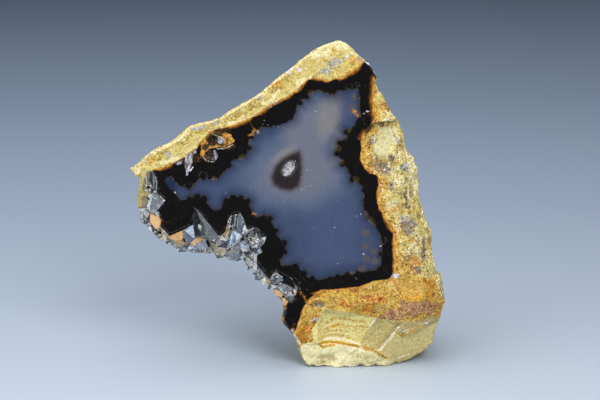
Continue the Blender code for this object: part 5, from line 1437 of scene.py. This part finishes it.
# Edges painted bright as painted highlights where they would catch the light: the line, how far behind the plane, the
# look
ridges = [
    ([(276, 287.6), (281.6, 283.4)], 0.0, "frosted"), ([(278.4, 289), (285.4, 284)], -0.1, "tan"),
    ([(281.6, 289.6), (285.4, 286.6)], -0.12, "frosted"), ([(287, 285), (291.6, 290)], -0.15, "frosted"),
    ([(152.4, 170.8), (155, 176.5), (156.8, 182), (156.2, 190)], 0.0, "frosted"),
    ([(155, 191.5), (160, 196), (164.7, 200.9)], -0.1, "frosted"),
    ([(164.7, 200.9), (161, 205.4), (157, 209.8)], -0.05, "frosted"),
    ([(152, 196.4), (156.4, 199.6), (152.6, 204.4)], -0.1, "frosted"),
    ([(146.8, 209.2), (149.6, 205.6), (153, 203.4)], 0.0, "frosted"),
    ([(150.6, 211.6), (154.6, 210.2), (158.4, 213.4)], 0.0, "frosted"),
    ([(160.8, 220.6), (159.6, 228.6)], -0.1, "peach"), ([(151, 214), (155.5, 215.6), (161, 220.4)], -0.1, "peach"),
    ([(159, 230), (164.6, 234), (168.6, 236.8)], 0.1, "frosted"),
    ([(151.6, 231.6), (157.6, 236.2), (163, 240)], 0.4, "tan"),
    ([(143.6, 218), (146, 220.6), (149.4, 222.4)], 0.2, "frosted"),
    ([(140, 209.6), (143, 213.6), (142.4, 219)], 0.2, "frosted"),
    ([(141, 176), (140.4, 184), (141.4, 190)], 0.1, "tan"), ([(146, 176), (147, 183)], 0.0, "frosted"),
    ([(168.4, 237), (176, 233.6), (183.4, 230.6)], 0.0, "peach"),
    ([(175, 241), (181, 243), (186.4, 243.8)], 0.0, "peach"), ([(183.8, 232), (184.4, 238), (187, 243.6)], 0.0, "tan"),
    ([(195, 208.4), (201, 214.8), (208, 224), (214.4, 232.4), (220, 237.8)], -0.08, "frosted"),
    ([(196, 241.6), (200, 240), (205.4, 239)], -0.12, "peach"), ([(196.6, 242), (198.6, 248.6), (206, 250.8)], 0.3, "frosted"),
    ([(205.8, 241), (208.6, 246), (207.4, 250)], 0.2, "frosted"), ([(188, 246), (193, 244.4), (195.6, 246)], 0.1, "frosted"),
    ([(220.4, 237.6), (225.6, 232), (227.6, 224), (229, 219.4)], -0.1, "peach"),
    ([(228.4, 220), (231.8, 215.8)], -0.15, "frosted"), ([(228.4, 230.6), (232, 226.6)], -0.1, "frosted"),
    ([(236.6, 214.6), (235.4, 222), (234, 231.6)], -0.25, "frosted"),
    ([(239.6, 213), (237.8, 218.4), (237.2, 228)], -0.2, "frosted"),
    ([(240, 213.6), (243.4, 219.4), (245.4, 225.2), (246.4, 232.4)], -0.2, "frosted"),
    ([(241.4, 219), (241.8, 227), (243.4, 232)], -0.15, "frosted"),
    ([(233.4, 244.6), (238.8, 241), (241, 236.4)], -0.2, "frosted"), ([(230.4, 238.4), (227, 247.4)], -0.15, "blue"),
    ([(226.6, 249.4), (233.4, 245), (241, 242.2), (247.6, 244.4), (249.4, 250)], -0.1, "frosted"),
    ([(243.6, 233.4), (248.4, 231.4), (253.6, 228), (258.6, 229.6), (260.2, 235.4)], -0.1, "frosted"),
    ([(244.6, 238.4), (250, 237), (254.6, 238.6), (258.6, 240.6)], -0.12, "tan"),
    ([(250, 242.4), (254.6, 240.4)], -0.1, "tan"), ([(248.4, 246.6), (253, 245.4), (255.6, 242)], -0.12, "frosted"),
    ([(256.4, 247.6), (259.4, 241.4), (265.6, 237.4)], -0.2, "frosted"),
    ([(266, 237.4), (263.6, 243.4), (259, 248)], -0.15, "frosted"), ([(260, 246), (262.4, 241.6)], -0.2, "frosted"),
    ([(256.8, 251), (262, 252), (258.4, 254)], -0.05, "frosted"), ([(256.8, 253.6), (256.2, 262.4)], 0.0, "frosted"),
    ([(249.8, 251), (253.4, 254), (251.4, 259.4)], 0.05, "frosted"),
    ([(246, 258), (248.4, 265.6), (252.4, 270)], 0.2, "tan"), ([(250.4, 260.6), (254.8, 265), (256.8, 270.4)], 0.1, "frosted"),
    ([(271.8, 279.6), (272.6, 276), (275.8, 273.8), (279.2, 275.8), (280.6, 279.8)], -0.1, "frosted"),
    ([(290, 277.4), (292.4, 279.4)], -0.1, "peach"), ([(293.4, 282.6), (295.6, 286.4)], -0.1, "peach"),
    ([(286, 293), (289.6, 291.6)], -0.05, "frosted"),
]
# The broken lower edge, lined with bits of crystal
bitsPath = [
    (141, 189), (139.5, 200), (140.5, 213), (146.5, 222), (155, 233), (166, 240.5), (178, 246.5),
    (190, 250), (202, 250), (214, 252), (223, 255.5), (234, 257.5), (243, 258), (247.5, 266),
    (254, 273.5), (262, 281), (268, 285), (276, 293), (283, 301),
]
sparkHighlights = [  # white chips and corners, painted white as highlights
    (155, 191.8), (164, 200.6), (143, 221), (164.5, 231.5), (161, 239), (194.6, 244.5), (249, 239.5),
    (253, 238.8), (243.5, 232.5), (277, 277), (145.8, 190.6), (150.8, 186), (146, 185.2), (150, 190.4),
    (214, 240.5), (217.5, 254), (178, 249.8), (236, 215), (252, 262), (258, 274.5), (252.5, 255.5),
    (240, 236), (233, 245), (148.5, 224), (263.5, 284), (228.5, 222), (286, 292.5), (155, 232),
]
looks = {"clear": 0, "frosted": 1, "peach": 1, "tan": 1, "yellow": 1, "blue": 1, "lavender": 1}
stains = ("peach", "tan", "yellow", "blue", "lavender")


def markFaces(thing, tones, look):  # brightness (painted light and shade), stain and material of every face
    count = len(thing.data.polygons)
    thing.data.attributes.new("tone", "FLOAT", "FACE").data.foreach_set("value", tones)
    for stain in stains:
        made = thing.data.attributes.new(stain, "FLOAT", "FACE")
        made.data.foreach_set("value", [float(stain == look)] * count)
    for material in quartzMaterials:
        thing.data.materials.append(material)
    thing.data.polygons.foreach_set("material_index", [looks[look]] * count)


def hull(name, corners):  # the solid stretched over the corners, each flat side one face
    work = bmesh.new()
    for corner in corners:
        work.verts.new(corner)
    made = bmesh.ops.convex_hull(work, input=work.verts)
    loose = [part for part in made["geom_interior"] + made["geom_unused"]
             if isinstance(part, bmesh.types.BMVert)]
    bmesh.ops.delete(work, geom=list(set(loose)), context="VERTS")
    bmesh.ops.dissolve_limit(work, angle_limit=0.03, verts=work.verts, edges=work.edges)
    bmesh.ops.recalc_face_normals(work, faces=work.faces)
    mesh = bpy.data.meshes.new(name)
    work.to_mesh(mesh)
    work.free()
    thing = bpy.data.objects.new(name, mesh)
    bpy.context.scene.collection.objects.link(thing)
    return thing


def crystal(name, draw, outline, tops, depth, paintedLightLeft, paintedLightRight, look):
    flat = onFace(outline)
    middle = flat.mean(0)
    outward = flat - middle
    flat = flat + outward / np.linalg.norm(outward, axis=1)[:, None] * quartz["grown"]
    if tops is None:
        reach = np.linalg.norm(middle - flat, axis=1)[:, None]
        front = flat + (middle - flat) / reach * np.minimum(quartz["bevel"], reach * 0.3)
    else:
        front = onFace(tops)
    root = flat + (middle - flat) * quartz["narrowing"]
    corners = [(x, depth, z) for x, z in front]
    corners += [(x, depth + quartz["drop"], z) for x, z in flat]
    corners += [(x, depth + quartz["root"], z) for x, z in root]
    thing = hull(name, corners)
    tones = []
    for face in thing.data.polygons:
        side = paintedLightLeft if face.center.x < middle[0] else paintedLightRight
        spread = quartz["toneSpread"] * draw.uniform(-1, 1)
        if tops is None:
            spread = 0.0 if face.normal.y < -0.9 else spread + draw.choice((-0.3, 0.1, 0.45))
        tones.append(side + spread)
    markFaces(thing, tones, look)
    return thing


def ridge(name, draw, start, end, depth, look):  # a thin roof along the line, painted bright as a highlight
    half, height, root = quartz["ridge"]
    line = onFace([start, end])
    along = (line[1] - line[0]) / np.linalg.norm(line[1] - line[0])
    aside = half * np.array((-along[1], along[0]))
    line += np.array((-along, along)) * half / 2
    corners = [(x, depth - 0.03, z) for x, z in line]
    for down, share in ((height, 1.0), (root, 0.8)):
        corners += [(x, depth + down, z) for x, z in [*(line + share * aside), *(line - share * aside)]]
    thing = hull(name, corners)
    markFaces(thing, [draw.uniform(0.55, 1.1)] * len(thing.data.polygons), look)
    return thing


def edgeBits(draw):  # small crystals of every shape along the broken edge
    bits = quartz["bits"]
    made = []
    for start, end in zip(bitsPath, bitsPath[1:]):
        count = max(1, round(math.dist(start, end) / bits["spacing"]))
        for i in range(count):
            x, y = (a + (b - a) * i / count + draw.uniform(-1, 1) * bits["wander"] for a, b in zip(start, end))
            size = draw.uniform(*bits["size"])
            turns = sorted(draw.uniform(0, 2 * math.pi) for _ in range(draw.randint(5, 6)))
            outline = [(x + size * math.cos(turn), y + size * math.sin(turn)) for turn in turns]
            if min(b - a for a, b in zip(turns, turns[1:])) < 0.25:
                continue
            top = [(x + draw.uniform(-0.4, 0.4) * size, y + draw.uniform(-0.4, 0.4) * size)]
            look = draw.choice(("frosted", "frosted", "frosted", "clear", "tan", "tan", "peach"))
            made.append(crystal(f"bit_{len(made)}", draw, outline, top, draw.uniform(*bits["depth"]),
                                draw.uniform(0.25, 1.0), draw.uniform(0.15, 0.8), look))
    return made


def lump(name, x, y, wide, high, turn, depth, tone):  # a small ball, squashed and turned
    work = bmesh.new()
    bmesh.ops.create_icosphere(work, subdivisions=2, radius=1.0)
    scale = slab["mmPerView"]
    place = onFace([(x, y)])[0]
    matrix = Matrix.Translation((place[0], 0, place[1])) @ Matrix.Rotation(math.radians(turn), 4, "Y")
    matrix = matrix @ Matrix.Diagonal((wide * scale, depth, high * scale, 1))
    bmesh.ops.transform(work, matrix=matrix, verts=work.verts)
    mesh = bpy.data.meshes.new(name)
    work.to_mesh(mesh)
    work.free()
    thing = bpy.data.objects.new(name, mesh)
    bpy.context.scene.collection.objects.link(thing)
    markFaces(thing, [tone] * len(mesh.polygons), "frosted")
    return thing


def clearQuartz():
    material, tree, shader = newMaterial("clear_quartz")
    place = millimetres(tree)
    cloud = noiseAt(tree, place, 1.3, 4, 0.62)
    veil = noiseAt(tree, place, 0.35, 3, 0.6, 0.6)
    # tone: each face's painted light and shade, with clouds
    tone = sums(tree, "MULTIPLY_ADD", cloud, 0.5, sums(tree, "SUBTRACT", field(tree, "tone"), 0.25))
    colour = ramp(tree, tone, [(0.0, "4A5058"), (0.35, "8E959E"), (0.65, "C6CDD6"), (1.0, "FAFCFF")])
    colour = blend(tree, between(tree, veil, 0.6, 0.75, 0, 0.5), colour, tint("F4F6FA"))
    wire(tree, shader, Base_Color=colour, Roughness=between(tree, cloud, 0.4, 0.66, 0.02, 0.16),
         IOR=1.544, Transmission_Weight=0.9)
    return material


def frostedQuartz():
    material, tree, shader = newMaterial("frosted_quartz")
    place = millimetres(tree)
    cloud = noiseAt(tree, place, 1.1, 4, 0.65)
    veil = noiseAt(tree, place, 0.24, 3, 0.6, 0.8)
    across = node(tree, "VectorMath", {0: place, 1: (0.5, 0.5, 3.6)}, operation="MULTIPLY").outputs[0]
    growth = noiseAt(tree, across, 0.7, 2, 0.5)
    # tone: each face's painted light and shade, with clouds, growth lines and veil
    tone = sums(tree, "MULTIPLY_ADD", cloud, 0.5, sums(tree, "SUBTRACT", field(tree, "tone"), 0.25))
    tone = sums(tree, "MULTIPLY_ADD", sums(tree, "SUBTRACT", growth, 0.5), 0.3, tone)
    tone = sums(tree, "MULTIPLY_ADD", sums(tree, "SUBTRACT", veil, 0.5), 0.6, tone)
    colour = ramp(tree, tone, [(0.0, "16181B"), (0.3, "44474B"), (0.52, "76797D"), (0.75, "B2B7BD"),
                               (1.0, "FAFBFD")])
    looksOf = {
        "peach": [(0.15, "A8703A"), (0.45, "D4A66E"), (0.75, "F8CC94")],
        "yellow": [(0.1, "6E5A22"), (0.45, "A8924E"), (0.8, "DCCB8C")],
        "tan": [(0.1, "38342B"), (0.4, "766F5C"), (0.65, "AA9F84"), (0.9, "E6DFC6")],
        "blue": [(0.1, "2A3860"), (0.5, "7E93B4"), (0.85, "E2EEFC")],
        "lavender": [(0.1, "42464F"), (0.5, "7A8298"), (0.85, "C0C4D2")],
    }
    for name, stops in looksOf.items():
        colour = blend(tree, field(tree, name), colour, ramp(tree, tone, stops))
    wire(tree, shader, Base_Color=colour, Roughness=between(tree, veil, 0.35, 0.7, 0.06, 0.3),
         IOR=1.544, Transmission_Weight=0.3)
    return material


quartzMaterials = [clearQuartz(), frostedQuartz()]


def quartzMesh():
    draw = random.Random(quartz["seed"])
    points, faces = nodeShape("quartz_crystals")
    body = addThing("clear_quartz", points, faces)
    tones = {}
    bodyTones = []
    for face in body.data.polygons:
        side = (*(round(part, 1) for part in face.normal), round(face.center.dot(face.normal), 1))
        tones.setdefault(side, draw.uniform(*quartz["bodyTone"]))
        bodyTones.append(tones[side])
    markFaces(body, bodyTones, "frosted")
    carve(body, [prism("clear_of", onFace(clearOf), cut["front"], 2 * quartz["reach"])])
    grown = [crystal(f"crystal_{i}", draw, *setup) for i, setup in enumerate(crystals)]
    carve(body, grown, "UNION")
    carve(body, edgeBits(draw), "UNION")
    edges = [ridge(f"ridge_{i}_{k}", draw, start, end, depth, look)
             for i, (path, depth, look) in enumerate(ridges)
             for k, (start, end) in enumerate(zip(path, path[1:]))]
    carve(body, edges, "UNION")
    size = quartz["sparkSize"] / slab["mmPerView"]
    chips = [lump(f"spark_{i}", x, y, size, size * draw.uniform(0.6, 1.1), draw.uniform(0, 90), 0.5, 1.1)
             for i, (x, y) in enumerate(sparkHighlights)]
    carve(body, chips, "UNION")
    carve(body, [lump(f"hole_{i}", *hole, 1.3, -0.1) for i, hole in enumerate(quartzHoles)])
    work = bmesh.new()
    work.from_mesh(body.data)
    bmesh.ops.dissolve_degenerate(work, dist=0.001, edges=work.edges)
    bmesh.ops.triangulate(work, faces=work.faces)
    work.to_mesh(body.data)
    work.free()
    body.data.validate()
    return body


quartzThing = quartzMesh()
print("stage: quartz", len(quartzThing.data.polygons), "faces")

# Druse: crusts of small crystals in the hollows

druses = {
    "eye": {"node": "eye_druse", "hollow": eye, "count": 420, "size": (0.14, 0.36), "seed": 4,
            "tones": ("6E6866", "B4B4BA", "ECEEF4", "FFFFFF")},
    "upper": {"node": "vug_druse_upper", "hollow": vugs["upper"], "count": 90, "size": (0.12, 0.34),
              "seed": 5, "tones": ("1C140E", "32251A", "5A4834", "8C8078")},
    "lower": {"node": "vug_druse_lower", "hollow": vugs["lower"], "count": 80, "size": (0.12, 0.34),
              "seed": 6, "tones": ("241A12", "4E4030", "7C7268", "B0AEB0")},
}


def druseMesh(name, setup):  # points of quartz standing on the wall of a hollow
    draw = random.Random(setup["seed"])
    hollow = setup["hollow"]
    x, z = onFace([hollow["centre"]])[0]
    turn = Matrix.Rotation(math.radians(hollow["turn"]), 4, "Y")
    wide, high = hollow["size"][0] / 2, hollow["size"][1] / 2
    points, faces = [], []
    for _ in range(setup["count"]):
        angle = draw.uniform(0, 2 * math.pi)
        out = math.sqrt(draw.uniform(0.0, 0.9))
        depth = math.sqrt(1 - out * out) * hollow["depth"]
        on = Vector((math.cos(angle) * out * wide, depth, math.sin(angle) * out * high))
        up = Vector((-on.x / wide**2, -on.y / hollow["depth"]**2, -on.z / high**2)).normalized()
        up = (up + 0.5 * Vector([draw.uniform(-1, 1) for _ in range(3)])).normalized()
        long = draw.uniform(*setup["size"]) * (1.0 + 0.9 * (1 - out))
        thick = long * draw.uniform(0.3, 0.45)
        side = up.orthogonal().normalized()
        across = up.cross(side)
        twist = draw.uniform(0, math.pi / 3)
        base = len(points)
        for height, width in ((-0.25, 1.0), (0.5, 0.95)):
            for k in range(6):
                around = twist + math.pi / 3 * k
                offset = side * math.cos(around) + across * math.sin(around)
                points.append(on + up * (height * long) + offset * (thick * width))
        points.append(on + up * long)
        faces.append(tuple(base + k for k in range(5, -1, -1)))
        for k in range(6):
            after = (k + 1) % 6
            faces.append((base + k, base + after, base + after + 6, base + k + 6))
            faces.append((base + k + 6, base + after + 6, base + 12))
    matrix = Matrix.Translation((x, 0, z)) @ turn
    placed = np.array([matrix @ point for point in points])
    placed[:, 1] = np.maximum(placed[:, 1], 0.02)
    return addThing(name, placed, faces)


def druseMaterial(name, tones):
    material, tree, shader = newMaterial(name)
    place = millimetres(tree)
    grain = useGroup(tree, sugarGrain, Place=place, Size=0.24)
    fine = noiseAt(tree, place, 0.5, 2, 0.5)
    mixed = sums(tree, "MULTIPLY_ADD", fine, 0.6, sums(tree, "MULTIPLY", grain["Draw"], 0.4))
    colour = ramp(tree, mixed, list(zip((0.2, 0.4, 0.6, 0.8), tones)))
    roughness = between(tree, fine, 0.35, 0.7, 0.1, 0.3)
    wire(tree, shader, Base_Color=colour, Roughness=roughness, IOR=1.544)
    return material


def finishPiece(thing, materials, node, sharp):
    setPoints(thing, toModel(pointsOf(thing)))
    if not thing.data.materials or thing.data.materials[0] != materials[0]:
        thing.data.materials.clear()
        for material in materials:
            thing.data.materials.append(material)
    if sharp:
        thing.data.shade_smooth()
        thing.data.set_sharp_from_angle(angle=math.radians(sharp))
    else:
        thing.data.shade_flat()
    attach(thing, "root")
    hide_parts(node)


finishPiece(rock, [rockMaterial()], "host_rock", 50)
finishPiece(agate, [agateMaterial()], "agate", 40)
finishPiece(quartzThing, quartzMaterials, "quartz_crystals", None)
for name, setup in druses.items():
    druse = druseMaterial(name + "_druse", setup["tones"])
    finishPiece(druseMesh(name + "_crystals", setup), [druse], setup["node"], None)
print("stage: pieces finished")

# Floor: a sheet of paper that rises at the back, graded from pale in front to grey blue behind as a painted falloff of
# the light

paper = {
    "reach": 3.0, "bendStart": 0.75, "bendRadius": 0.6, "rise": 1.6, "roughness": 0.45,
    "tones": [(-0.10, "C6D1DE"), (-0.04, "BCC8D7"), (0.04, "ACB9CB"), (0.15, "9DABC0"), (0.34, "8D9DB3"),
              (0.75, "8292A9")],
}


def layFloor():
    profile = [(-paper["reach"], 0.0)]
    for i in range(17):
        angle = math.pi / 2 * i / 16
        along = paper["bendStart"] + paper["bendRadius"] * math.sin(angle)
        profile.append((along, paper["bendRadius"] * (1 - math.cos(angle))))
    profile.append((paper["bendStart"] + paper["bendRadius"], paper["rise"]))
    points = [(x, y, z) for y, z in profile for x in (-paper["reach"], paper["reach"])]
    faces = [(2 * i, 2 * i + 1, 2 * i + 3, 2 * i + 2) for i in range(len(profile) - 1)]
    mesh = bpy.data.meshes.new("floor")
    mesh.from_pydata(points, [], faces)
    mesh.shade_smooth()
    floor = bpy.data.objects.new("floor", mesh)
    bpy.context.scene.collection.objects.link(floor)
    material, tree, shader = newMaterial("paper_painted_falloff")
    where = node(tree, "TexCoord").outputs["Object"]
    along = node(tree, "SeparateXYZ", {0: where}).outputs["Y"]
    first, last = paper["tones"][0][0], paper["tones"][-1][0]
    share = node(tree, "MapRange", {"Value": along, "From Min": first, "From Max": last}).outputs[0]
    stops = [((place - first) / (last - first), code) for place, code in paper["tones"]]
    wire(tree, shader, Base_Color=ramp(tree, share, stops), Roughness=paper["roughness"])
    mesh.materials.append(material)


layFloor()
bpy.context.view_layer.update()
